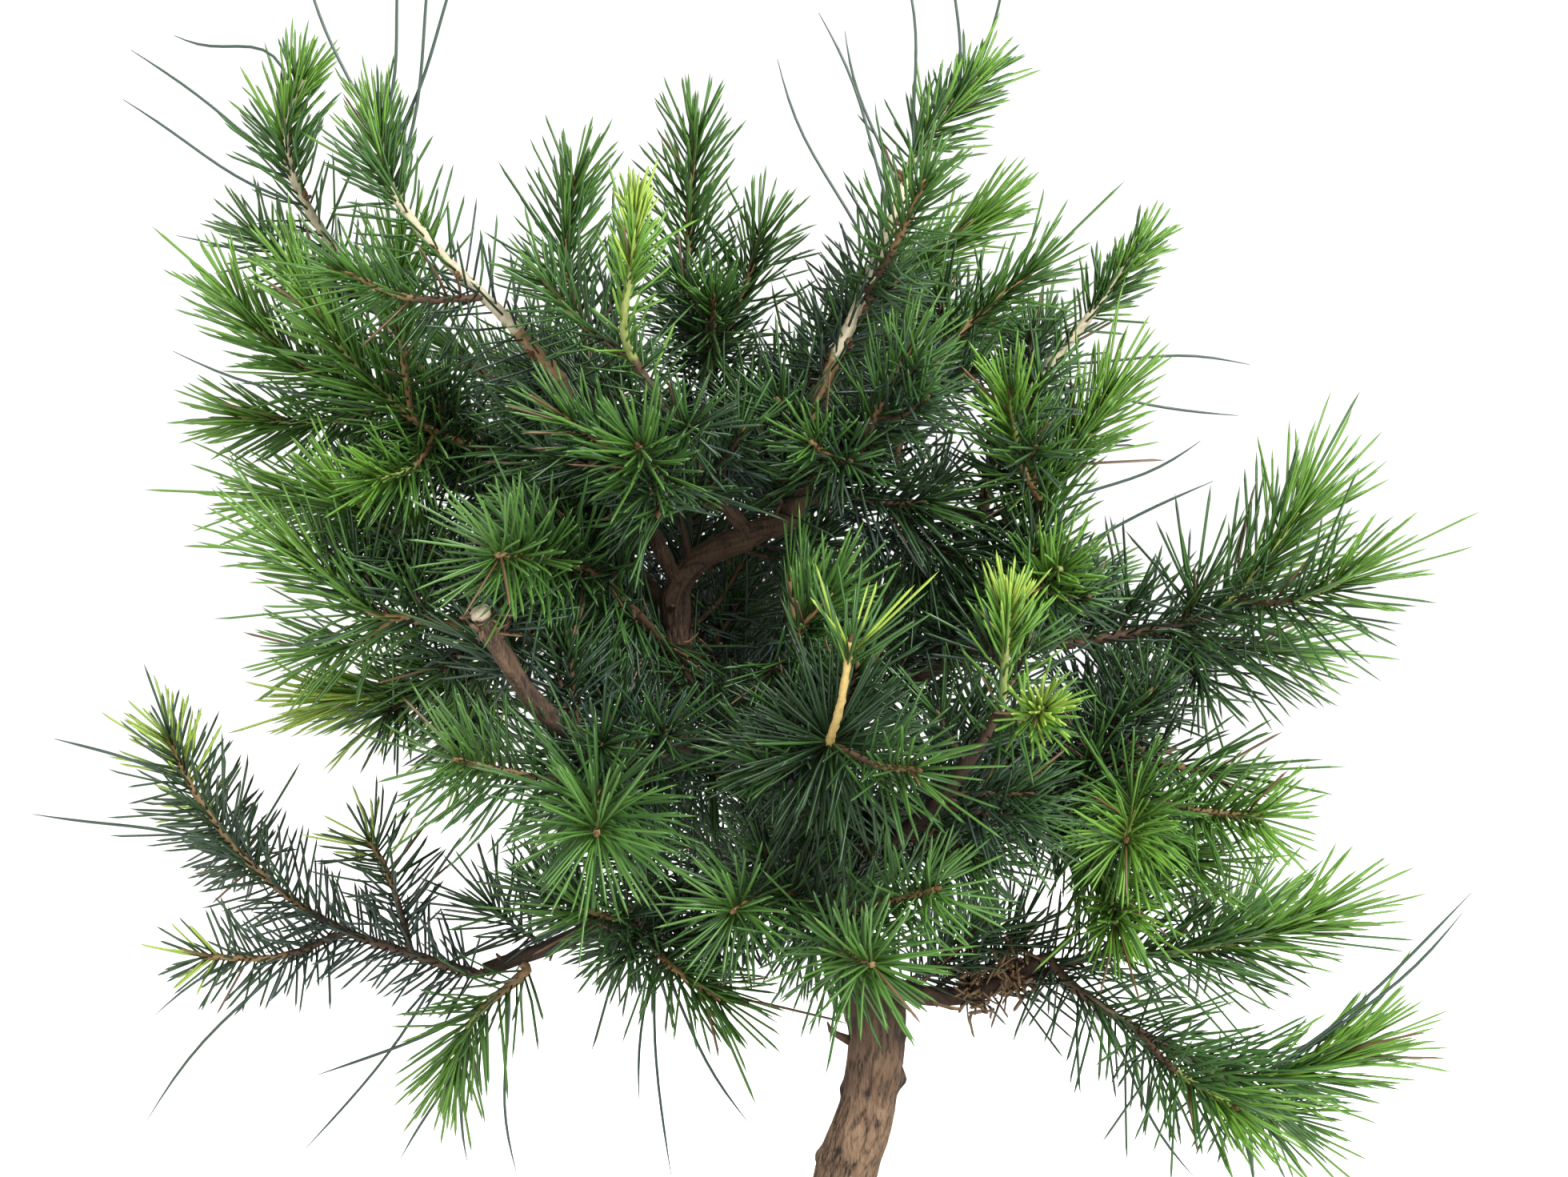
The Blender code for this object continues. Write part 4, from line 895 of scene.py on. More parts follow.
def linear(hex_colour: str, share: float = 1.0) -> tuple[float, float, float, float]:
    """An sRGB colour in the linear values that shaders take.

    Args:
        hex_colour: The colour, as # and six hex digits.
        share: How much of its light is kept, below 1 for a darker shade.

    Returns:
        Red, green and blue in linear light, and full alpha.
    """
    values = [int(hex_colour[place : place + 2], 16) / 255 for place in (1, 3, 5)]
    light = [value / 12.92 if value <= 0.04045 else ((value + 0.055) / 1.055) ** 2.4 for value in values]
    return (*(share * value for value in light), 1.0)


def add_node(
    tree: bpy.types.NodeTree, kind: str, settings: Sockets | None = None, links: Sockets | None = None
) -> bpy.types.Node:
    """Adds a shader node.

    Args:
        tree: The material's node tree.
        kind: The node's type name.
        settings: Values by socket name or number, or by property name.
        links: Output sockets by the name or number of the input that they feed.

    Returns:
        The new node.
    """
    node = tree.nodes.new(kind)
    for key, value in (settings or {}).items():
        if isinstance(key, int) or key in node.inputs:
            node.inputs[key].default_value = value
        else:
            setattr(node, key, value)
    for key, socket in (links or {}).items():
        tree.links.new(socket, node.inputs[key])
    return node


def shader_of(material: bpy.types.Material) -> bpy.types.Node:
    """The material's Principled node."""
    return material.node_tree.nodes["Principled BSDF"]


def new_material(name: str, colour: str, roughness: float) -> bpy.types.Material:
    """A Principled material with one base colour and roughness.

    Args:
        name: The real material's name.
        colour: Its sRGB colour.
        roughness: How dull it is.

    Returns:
        The material.
    """
    material = bpy.data.materials.new(name)
    material.use_nodes = True
    shader_of(material).inputs["Base Color"].default_value = linear(colour)
    shader_of(material).inputs["Roughness"].default_value = roughness
    return material


def finish_with(
    material: bpy.types.Material, colour: bpy.types.Node, bump: bpy.types.Node
) -> bpy.types.Material:
    """Feeds a colour mix and a bump into a material.

    Args:
        material: The material.
        colour: The mix that gives its colour.
        bump: The bump that gives its fine relief.

    Returns:
        The same material.
    """
    links, inputs = material.node_tree.links, shader_of(material).inputs
    links.new(colour.outputs[MIX_RESULT], inputs["Base Color"])
    links.new(bump.outputs["Normal"], inputs["Normal"])
    return material


@dataclass(frozen=True)
class PineNeedle:
    """Waxy needle cuticle, grown: a satin surface with one even colour that the spray's age gives it, darker
    on the inner shoots of the heart partly as painted shade.
    """

    tone: Tone
    roughness: float = 0.42

    def material(self) -> bpy.types.Material:
        """The finish, a plain base colour."""
        return new_material(f"pine_needle_cuticle_{self.tone.name.lower()}", self.tone.value, self.roughness)


@dataclass(frozen=True)
class ShootRind:
    """Thin rind of a young shoot, scarred where needles fell: mottled along its length, dull, and uneven."""

    rind: Rind
    mottle_mm: float = 1.6
    scar_depth_mm: float = 0.3
    scar_shade: float = 0.42
    roughness: float = 0.66

    def material(self) -> bpy.types.Material:
        """The finish: its colour mottled darker in small patches.

        Returns:
            The material.
        """
        base = self.rind.value
        material = new_material(f"pine_shoot_rind_{self.rind.name.lower()}", base, self.roughness)
        tree = material.node_tree
        place = add_node(tree, "ShaderNodeTexCoord").outputs["Object"]
        patches = add_node(
            tree, "ShaderNodeTexNoise", {"Scale": 1 / (self.mottle_mm * MM), "Detail": 3.0}, {"Vector": place}
        )
        colour = add_node(
            tree,
            "ShaderNodeMix",
            {"data_type": COLOUR_MIX, MIX_A: linear(base, self.scar_shade), MIX_B: linear(base)},
            {MIX_FACTOR: patches.outputs["Fac"]},
        )
        bump = add_node(
            tree,
            "ShaderNodeBump",
            {"Strength": 0.5, "Distance": self.scar_depth_mm * MM},
            {"Height": patches.outputs["Fac"]},
        )
        return finish_with(material, colour, bump)


@dataclass(frozen=True)
class PineBark:
    """Fissured pine bark, weathered: dull tan ridges over dark cracks, with painted shade that makes it
    darker brown where the crown shades the trunk and the boughs.

    The fibres are drawn coarser than real ones, which are too fine to show.
    """

    ridge: str = "#a98d70"
    crack: str = "#2e2018"
    # colour of the painted shade that the crown casts on the trunk and the boughs
    crown: str = "#4b3729"
    stain: str = "#8d7663"
    fibre_mm: float = 0.6
    fibre_squeeze: float = 0.11  # scale up the tree as a share of that across it: long upright fibres
    fibre_depth_mm: float = 0.9
    fibre_gain: float = 2.6
    fibre_offset: float = -1.52
    plate_mm: float = 9.0
    roughness: float = 0.86

    def material(self) -> bpy.types.Material:
        """The finish, which reads from the mesh how light its bark is and how much painted crown shade it
        has.

        Returns:
            The material.
        """
        material = new_material("pine_bark_fissured", self.ridge, self.roughness)
        tree = material.node_tree
        relief = add_node(tree, "ShaderNodeAttribute", {"attribute_name": BARK_ATTRIBUTE})
        parts = add_node(tree, "ShaderNodeSeparateColor", links={"Color": relief.outputs["Color"]})
        place = add_node(tree, "ShaderNodeTexCoord").outputs["Object"]
        stretched = add_node(
            tree, "ShaderNodeMapping", {"Scale": (1, 1, self.fibre_squeeze)}, {"Vector": place}
        )
        fibres = add_node(
            tree,
            "ShaderNodeTexNoise",
            {"Scale": 1 / (self.fibre_mm * MM), "Detail": 4.0, "Roughness": 0.65},
            {"Vector": stretched.outputs["Vector"]},
        )
        plates = add_node(
            tree, "ShaderNodeTexNoise", {"Scale": 1 / (self.plate_mm * MM), "Detail": 3.0}, {"Vector": place}
        )
        # painted shade: the bark turns to the crown colour where the mesh's green channel says the crown
        # shades it
        crown_shaded = add_node(
            tree,
            "ShaderNodeMix",
            {"data_type": COLOUR_MIX, MIX_A: linear(self.ridge), MIX_B: linear(self.crown)},
            {MIX_FACTOR: parts.outputs["Green"]},
        )
        worn = add_node(
            tree,
            "ShaderNodeMix",
            {"data_type": COLOUR_MIX, "blend_type": "MULTIPLY", MIX_B: linear(self.stain)},
            {MIX_FACTOR: plates.outputs["Fac"], MIX_A: crown_shaded.outputs[MIX_RESULT]},
        )
        depth = add_node(
            tree,
            "ShaderNodeMath",
            {"operation": "MULTIPLY_ADD", 1: self.fibre_gain, 2: self.fibre_offset},
            {0: fibres.outputs["Fac"]},
        )
        shade = add_node(
            tree,
            "ShaderNodeMath",
            {"operation": "ADD", "use_clamp": True},
            {0: parts.outputs["Red"], 1: depth.outputs["Value"]},
        )
        colour = add_node(
            tree,
            "ShaderNodeMix",
            {"data_type": COLOUR_MIX, MIX_A: linear(self.crack)},
            {MIX_FACTOR: shade.outputs["Value"], MIX_B: worn.outputs[MIX_RESULT]},
        )
        bump = add_node(
            tree,
            "ShaderNodeBump",
            {"Strength": 1.0, "Distance": self.fibre_depth_mm * MM},
            {"Height": fibres.outputs["Fac"]},
        )
        return finish_with(material, colour, bump)


@dataclass(frozen=True)
class SpeckledSolid:
    """A mineral or sawn finish with a cloudy base colour and specks.

    Fired stoneware is matt with iron specks. Baked clay grit and soil are rough and dull all over. Sawn end
    grain is pale with small darker pores.
    """

    name: str
    base: str
    speck: str
    speck_mm: float
    roughness: float
    grain_depth_mm: float = 0.15
    cloud_specks: float = 14  # how many specks wide a cloud is
    cloud_shade: float = 0.62
    speck_from: float = 0.56  # noise levels where a speck starts and where it is full
    speck_full: float = 0.68

    def material(self) -> bpy.types.Material:
        """The finish: cloudy base colour, sparse specks and a fine grain.

        Returns:
            The material.
        """
        material = new_material(self.name, self.base, self.roughness)
        tree = material.node_tree
        place = add_node(tree, "ShaderNodeTexCoord").outputs["Object"]
        cloud = add_node(
            tree,
            "ShaderNodeTexNoise",
            {"Scale": 1 / (self.cloud_specks * self.speck_mm * MM), "Detail": 4.0},
            {"Vector": place},
        )
        specks = add_node(
            tree, "ShaderNodeTexNoise", {"Scale": 1 / (self.speck_mm * MM), "Detail": 2.0}, {"Vector": place}
        )
        sparse = add_node(
            tree,
            "ShaderNodeMapRange",
            {"From Min": self.speck_from, "From Max": self.speck_full},
            {"Value": specks.outputs["Fac"]},
        )
        clouded = add_node(
            tree,
            "ShaderNodeMix",
            {"data_type": COLOUR_MIX, MIX_A: linear(self.base, self.cloud_shade), MIX_B: linear(self.base)},
            {MIX_FACTOR: cloud.outputs["Fac"]},
        )
        colour = add_node(
            tree,
            "ShaderNodeMix",
            {"data_type": COLOUR_MIX, MIX_B: linear(self.speck)},
            {MIX_FACTOR: sparse.outputs["Result"], MIX_A: clouded.outputs[MIX_RESULT]},
        )
        bump = add_node(
            tree,
            "ShaderNodeBump",
            {"Strength": 0.6, "Distance": self.grain_depth_mm * MM},
            {"Height": specks.outputs["Fac"]},
        )
        return finish_with(material, colour, bump)


STONEWARE = SpeckledSolid("stoneware_unglazed", "#8a5d43", "#3d2a20", 0.9, 0.62)
POTTING_SOIL = SpeckledSolid("potting_soil_raked", "#3a2c21", "#6d5640", 1.4, 0.95, 0.5)
GRIT_DARK = SpeckledSolid("lava_grit_crushed", "#4a3a31", "#241b16", 0.8, 0.92)
GRIT_TAN = SpeckledSolid("akadama_clay_grit_baked", "#a07a52", "#6e4f33", 0.8, 0.9)
SAWN_PINE = SpeckledSolid("pine_end_grain_sawn", "#cdbfa6", "#8a755c", 0.5, 0.8)


@dataclass(frozen=True)
class Knot:
    """A scar or swelling on the trunk: its run, its angle from the right, its radius and its height."""

    run: float
    angle: float
    radius: float
    height: float


@dataclass
class BarkedLimbs:
    """The trunk and the boughs, each a mesh with the bark's relief in place of its plain solid."""

    limbs: dict[str, Limb]
    trunk_sides: int = 96
    bough_sides: int = 26
    trunk_spacing: float = 1.3 * MM
    bough_spacing: float = 1.5 * MM
    end_bulge_mm: float = 0.4
    crack_mm: float = 2.1
    crack_stretch: float = 9  # how many times longer than wide the cracks are
    crack_narrow: float = 5  # how much narrower than the ridges they are
    crack_shade: float = 0.6
    swell_mm: float = 11
    swell_height: float = 1.5  # this and the level are shares of the relief
    swell_shade: float = 0.5
    level: float = 0.35
    relief_mm: float = 0.7
    full_relief_radius: float = 0.008  # thinner limbs have less relief
    scar_edge: float = 2.2  # how sharply the dark of a scar ends
    crown_shade_from: tuple = ((0.150, 0.200, 0.260, 0.320), (0.0, 1.0, 1.0, 0.5))  # heights, share of painted crown shade
    end_tones: tuple = ((0.6, 0.0), (0.9, 1.0))  # lightness and painted crown shade at the foot and the tip
    cuts: tuple = (("cut_stub", 1.12, 2.4 * MM), ("trunk", 1.1, 2.2 * MM))  # limb, width share, thickness
    cut_runs: tuple = (-1.0, -0.4, 0.15, 0.4, 0.42)  # shares of a cut's thickness, past the limb's end
    cut_widths: tuple = (0.96, 1.05, 1.0, 0.72, 0.15)
    cut_sides: int = 16
    cut_ragged: tuple = (0.9, 1.1)
    stub_sides: int = 9  # of the stubs in the photograph; the small ones are spread by chance
    small_stub_runs: tuple = (0, 0.6, 1.0)
    small_stub_radii_mm: tuple = (0.9, 0.6, 0.35)
    small_stub_lengths_mm: tuple = (2, 5)
    small_stub_sunk: float = 1 * MM
    small_stub_reach: tuple = (0.35, 0.95)  # shares of a limb between which they stand
    small_stub_slant: tuple = (0.0, 0.7)
    small_stub_width: tuple = (0.8, 1.3)
    stubs_on_trunk: int = 12
    stubs_on_bough: int = 4
    knots: tuple[Knot, ...] = (
        Knot(0.102, 0.0, 0.0030, 0.0022),
        Knot(0.117, -0.35, 0.0026, 0.0010),
        Knot(0.097, -1.75, 0.0020, -0.0007),
        Knot(0.087, -1.05, 0.0019, -0.0007),
        Knot(0.074, -2.3, 0.0018, -0.0006),
        Knot(0.095, 3.1, 0.0026, 0.0011),
        Knot(0.069, 3.0, 0.0028, 0.0012),
        Knot(0.042, -1.2, 0.0026, -0.0007),
        Knot(0.053, 1.9, 0.0030, 0.0012),
    )

    def scarred(self, run: float, facing: float, base: float, height: float) -> tuple[float, float]:
        """Adds the knots to the height of the trunk's bark.

        Args:
            run: How far up the trunk the place is.
            facing: Its angle from the trunk's right.
            base: The trunk's radius there.
            height: How high the bark stands without knots.

        Returns:
            How high it stands with them, and how dark the scar is.
        """
        dark = 0.0
        for knot in self.knots:
            turn = (facing - knot.angle + math.pi) % math.tau - math.pi
            far = math.hypot(run - knot.run, turn * base) / knot.radius
            height += knot.height * math.exp(-far * far)
            dark = max(dark, math.exp(-far * far * self.scar_edge))
        return height, dark

    def surface(self, limb: Limb, sides: int, spacing: float, is_trunk: bool) -> tuple[np.ndarray, ...]:
        """Rings of a limb with its bark relief.

        Args:
            limb: The limb.
            sides: How many points a ring has.
            spacing: The run between rings.
            is_trunk: Whether it has buttress roots and knots.

        Returns:
            Its points, and for each point how light the bark is and how much painted crown shade it has.
        """
        runs = limb.course.marks(spacing)
        places, headings = limb.course.places(runs), limb.course.headings(runs)
        headings[0], headings[-1] = limb.course.first_heading, limb.course.last_heading
        across = sides_along(headings)
        third = np.cross(headings, across)
        right = math.atan2(third[0][0], across[0][0])
        points, tones = [], []
        for run, place, side, other in zip(runs, places, across, third):
            base = float(limb.radius(run))
            depth = self.relief_mm * MM * min(1.0, base / self.full_relief_radius)
            for index in range(sides):
                angle = index * math.tau / sides
                out = side * math.cos(angle) + other * math.sin(angle)
                where = Vector((*(out * base / (self.crack_mm * MM)),))
                where += Vector(place + headings[0] * run) / (self.crack_mm * self.crack_stretch * MM)
                crack = 1 - min(1.0, abs(noise.noise(where)) * self.crack_narrow)
                swell = noise.noise(Vector(place + out * base) / (self.swell_mm * MM))
                height = depth * (self.level - crack + self.swell_height * swell)
                dark, radius = 0.0, base
                if is_trunk:
                    radius *= 1 + ROOT_RELIEF * max(0, 1 - run / ROOT_RISE) * math.cos(ROOTS * angle)
                    height, dark = self.scarred(run, angle - right, base, height)
                points.append(place + out * (radius + height))
                tones.append(max(0.0, 1.0 - self.crack_shade * crack + self.swell_shade * swell - dark))
        points = np.array(points)
        # painted shade: the share of crown colour rises with height into the crown's shadow and eases off
        # above it
        return points, np.stack((tones, np.interp(points[:, 2], *self.crown_shade_from)), axis=1)

    def limb_piece(self, node: str, limb: Limb, bark: bpy.types.Material) -> bpy.types.Object:
        """One barked limb that replaces its node.

        Args:
            node: The node's name.
            limb: The limb.
            bark: Its finish.

        Returns:
            The piece.
        """
        is_trunk = node == "trunk"
        sides = self.trunk_sides if is_trunk else self.bough_sides
        spacing = self.trunk_spacing if is_trunk else self.bough_spacing
        points, tones = self.surface(limb, sides, spacing, is_trunk)
        course = limb.course
        bulge = np.array(course.last_heading) * self.end_bulge_mm * MM
        ends = np.array([course.line[0], course.line[-1] + bulge])
        count, last = len(points), len(points) - sides
        ring = np.arange(sides)
        after = (ring + 1) % sides
        foot = np.stack((np.full(sides, count), after, ring), axis=1)
        head = np.stack((np.full(sides, count + 1), last + ring, last + after), axis=1)
        triangles = np.concatenate((grid_triangles(count // sides, sides), foot, head))
        obj = build_mesh(f"{node}_bark", np.concatenate((points, ends)), triangles, bark)
        colours = np.zeros((count + 2, 4), np.float32)
        # red is how light the bark is, green is the painted crown shade
        colours[:, :2] = np.concatenate((tones, np.array(self.end_tones)))
        colours[:, 3] = 1
        layer = obj.data.color_attributes.new(BARK_ATTRIBUTE, "FLOAT_COLOR", "POINT")
        layer.data.foreach_set("color", colours.ravel())
        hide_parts(node)
        return obj

    def cut_ends(self) -> bpy.types.Object:
        """Pale sawn faces on the cut stub and the cut leader, each a shallow ragged cap.

        Returns:
            The piece.
        """
        skin = Skin()
        rng = np.random.default_rng(SEED)
        for name, width, thick in self.cuts:
            limb = self.limbs[name]
            offsets = np.array(self.cut_runs) * thick
            shape = np.array(self.cut_widths) * limb.radii[-1] * width
            radii = shape[:, None] * rng.uniform(*self.cut_ragged, (len(offsets), self.cut_sides))
            heading = np.array(limb.course.last_heading)
            skin.tube(limb.course.line[-1] + heading * offsets[:, None], radii, self.cut_sides)
        obj = skin.build("cut_faces", SAWN_PINE.material())
        return obj

    def dead_stubs(self) -> bpy.types.Object:
        """Small dead twig stubs that stand out of the trunk and the boughs.

        Returns:
            The piece.
        """
        skin = Skin()
        rng = np.random.default_rng(SEED + 1)
        for points, radii in DEAD_STUBS:
            skin.tube(np.array(points), np.array(radii) * MM, self.stub_sides)
        for name, limb in self.limbs.items():
            for _ in range(self.stubs_on_trunk if name == "trunk" else self.stubs_on_bough):
                run = rng.uniform(*self.small_stub_reach) * limb.course.length
                heading = np.array(limb.course.heading(run))
                out = unit(np.cross(heading, rng.normal(size=3)))
                start = np.array(limb.course.at(run)) + out * (limb.radius(run) - self.small_stub_sunk)
                way = unit(out + heading * rng.uniform(*self.small_stub_slant))
                length = rng.uniform(*self.small_stub_lengths_mm) * MM + self.small_stub_sunk
                places = start + way * np.array(self.small_stub_runs)[:, None] * length
                radii = np.array(self.small_stub_radii_mm) * MM * rng.uniform(*self.small_stub_width)
                skin.tube(places, radii, SPIKE_SIDES)
        obj = skin.build("dead_twig_stubs", ShootRind(Rind.BROWN).material())
        return obj

    def build(self) -> None:
        """Makes every limb, its cut ends and its dead stubs."""
        bark = PineBark().material()
        for name, limb in self.limbs.items():
            self.limb_piece(name if name == "trunk" else f"bough_{name}", limb, bark)
        self.cut_ends()
        self.dead_stubs()


@dataclass
class Needles:
    """All needles of the tree, gathered by tone and joined into a few pieces."""

    limbs: dict[str, Limb]
    radius_mm: float = 0.57
    radius_spread: tuple = (0.85, 1.1)
    most_a_piece: int = 12000
    profile: tuple = ((0.0, 0.8), (0.38, 1.0), (0.88, 0.9))  # share along a needle, share of its radius
    corners: int = 3
    shoot_side: tuple = (0.31, 0.9, 0.29)  # a direction that no shoot runs along
    needle_side: tuple = (0.23, -0.41, 0.88)  # and one that no needle runs along
    clearance: float = 0.4 * MM  # between a needle and a limb's surface
    limb_marks: float = 2 * MM  # between the points that stand for a limb
    bare_foot: float = 0.6 * BARE_FOOT
    pitch_spread: tuple = (0.7, 1.3)
    sunk_share: float = 0.6  # how far out in the stem a needle starts
    turn_spread: float = 0.25
    lean_spread: float = 7
    length_spread: tuple = (0.8, 1.14)
    overlong: float = 1.5
    overlong_share: float = 0.05
    bend_ahead: tuple = (-0.02, 0.20)
    bend_spread: float = 0.055
    bend_rise: tuple = (-0.05, 0.03)
    tested_share: float = 0.45  # where a needle is tested, besides at its tip
    age_spread: float = 0.10
    old_share: float = 0.55  # of the stem before its brush, which carries the oldest needles
    dead_share: float = 0.012
    scale_length: float = 6 * MM  # of a dry scale in a clump
    scale_spread: tuple = (0.5, 1.3)
    scale_bend: float = 0.35
    scale_radii_mm: tuple = (0.5, 1.0)
    rows: list = field(default_factory=list)
    tones: list = field(default_factory=list)

    def __post_init__(self) -> None:
        """Makes the search tree that keeps needles out of the limbs."""
        points, radii = [], []
        for limb in self.limbs.values():
            marks = limb.course.marks(self.limb_marks)
            points += list(limb.course.places(marks))
            radii += list(limb.radius(marks))
        self.tree, self.limb_radii = tree_of(points), radii

    def clear(self, point: np.ndarray) -> bool:
        """Whether a point is outside every limb and the window, and inside the tree's box.

        Args:
            point: The point.

        Returns:
            Whether a needle may reach it.
        """
        if in_window(point):
            return False
        _, index, distance = self.tree.find(point)
        inside = np.all(point > LOWEST - ROOM) and np.all(point < HIGHEST + ROOM)
        return bool(inside and distance > self.limb_radii[index] + self.clearance)

    def starts(self, habit: Habit, length: float, rng: np.random.Generator) -> np.ndarray:
        """Where needles leave a shoot.

        Args:
            habit: The shoot's habit.
            length: The shoot's length.
            rng: The seeded source of their small differences.

        Returns:
            The run of each.
        """
        runs, run = [], self.bare_foot
        while run < length:
            share = run / length
            if not habit.bare[0] < share < habit.bare[1]:
                runs.append(run)
            pitch = habit.pitch if share < habit.brush_from else habit.brush_pitch
            run += pitch * MM * rng.uniform(*self.pitch_spread)
        return np.array(runs)

    def tone_of(self, habit: Habit, age: float, rng: np.random.Generator) -> Tone:
        """The tone of one needle.

        Args:
            habit: Its shoot's habit.
            age: Where it stands on the shoot, as a share that is a little off.
            rng: The seeded source that picks the dead ones.

        Returns:
            The tone.
        """
        if rng.random() < self.dead_share:
            return Tone.DEAD
        if age < habit.brush_from * self.old_share:
            return habit.tones[0]
        return habit.tones[1 if age < 0.5 * (1 + habit.brush_from) else 2]

    def on_shoot(self, shoot: Shoot, rng: np.random.Generator) -> None:
        """Grows the needles of one shoot.

        Args:
            shoot: The shoot that carries them.
            rng: The seeded source of their small differences.
        """
        habit, length = shoot.habit, shoot.course.length
        runs = self.starts(habit, length, rng)
        count = len(runs)
        if not count:
            return
        shares = runs / length
        places, headings = shoot.course.places(runs), shoot.course.headings(runs)
        across = unit(np.cross(headings, self.shoot_side))
        third = np.cross(headings, across)
        turns = np.arange(count) * GOLDEN_TURN + rng.normal(0, self.turn_spread, count)
        out = across * np.cos(turns)[:, None] + third * np.sin(turns)[:, None]
        stops = (0, habit.brush_from, 1)
        lean = np.interp(shares, stops, habit.leans) + rng.normal(0, self.lean_spread, count)
        lean = np.radians(lean)[:, None]
        ways = headings * np.cos(lean) + out * np.sin(lean)
        lengths = shoot.needle * np.interp(shares, stops, habit.lengths)
        lengths *= rng.uniform(*self.length_spread, count)
        lengths *= np.where(rng.random(count) < self.overlong_share, self.overlong, 1.0)
        stem = shoot.root + (shoot.tip - shoot.root) * shares
        roots = places + out * (stem * self.sunk_share)[:, None]
        bends = headings * rng.uniform(*self.bend_ahead, count)[:, None]
        bends += rng.normal(0, self.bend_spread, (count, 3))
        bends[:, 2] += rng.uniform(*self.bend_rise, count)
        ages = shares + rng.normal(0, self.age_spread, count)
        for root, way, reach, bend, age in zip(roots, ways, lengths, bends, ages):
            tip = root + (way + bend) * reach
            if self.clear(tip) and self.clear(root + way * reach * self.tested_share):
                self.tones.append(self.tone_of(habit, age, rng))
                radius = self.radius_mm * MM * rng.uniform(*self.radius_spread)
                self.rows.append((*root, *way, *bend, reach, radius))

    def tuft(self, centre: np.ndarray, spread: float, count: int, rng: np.random.Generator) -> None:
        """Dry scales and broken dead needles caught round a limb.

        Args:
            centre: The middle of the clump.
            spread: How far they lie from it.
            count: How many are tried.
            rng: The seeded source of their places.
        """
        for _ in range(count):
            root = centre + rng.normal(0, spread, 3)
            way = unit(rng.normal(size=3))
            reach = self.scale_length * rng.uniform(*self.scale_spread)
            if self.clear(root + way * reach):
                bend, radius = rng.normal(0, self.scale_bend, 3), rng.uniform(*self.scale_radii_mm) * MM
                self.rows.append((*root, *way, *bend, reach, radius))
                self.tones.append(Tone.DEAD)

    def build(self) -> list[bpy.types.Object]:
        """Joins the needles of each tone into pieces of a few thousand needles.

        Returns:
            The pieces.
        """
        rows, pieces = np.array(self.rows), []
        tones = np.array([tone.name for tone in self.tones])
        for tone in Tone:
            chosen = rows[tones == tone.name]
            material = PineNeedle(tone).material()
            for number, start in enumerate(range(0, len(chosen), self.most_a_piece), 1):
                vertices, triangles = self.shapes(chosen[start : start + self.most_a_piece])
                obj = build_mesh(f"needles_{tone.name.lower()}_{number}", vertices, triangles, material)
                pieces.append(obj)
        return pieces

    def shapes(self, rows: np.ndarray) -> tuple[np.ndarray, np.ndarray]:
        """Three-sided tapering needles, each bent along its length.

        Args:
            rows: A row a needle: root, way, bend, length and radius.

        Returns:
            Their points and triangles.
        """
        root, way, bend = rows[:, 0:3], rows[:, 3:6], rows[:, 6:9]
        reach, radius = rows[:, 9:10], rows[:, 10:11]
        across = unit(np.cross(way, self.needle_side))
        third = np.cross(way, across)
        points = []
        for share, thick in self.profile:
            middle = root + (way * share + bend * share * share) * reach
            for corner in range(self.corners):
                angle = corner * math.tau / self.corners
                points.append(middle + (across * math.cos(angle) + third * math.sin(angle)) * radius * thick)
        tip = len(points)
        points.append(root + (way + bend) * reach)
        last = tip - self.corners
        faces = [(0, 2, 1)] + grid_triangles(len(self.profile), self.corners).tolist()
        faces += [(last + corner, last + (corner + 1) % self.corners, tip) for corner in range(self.corners)]
        vertices = np.stack(points, axis=1).reshape(-1, 3)
        starts = np.arange(len(rows))[:, None, None] * len(points)
        return vertices, (np.array(faces)[None] + starts).reshape(-1, 3)


def bent_course(start: Vector, out: Vector, bent: Vector, length: float) -> Course:
    """A short course that bends at half its length.

    Args:
        start: Where it starts.
        out: The heading of its first half.
        bent: The heading of its second half.
        length: The length of both together.

    Returns:
        The course.
    """
    middle = start + out * length / 2
    return Course([start, middle, middle + bent * length / 2])


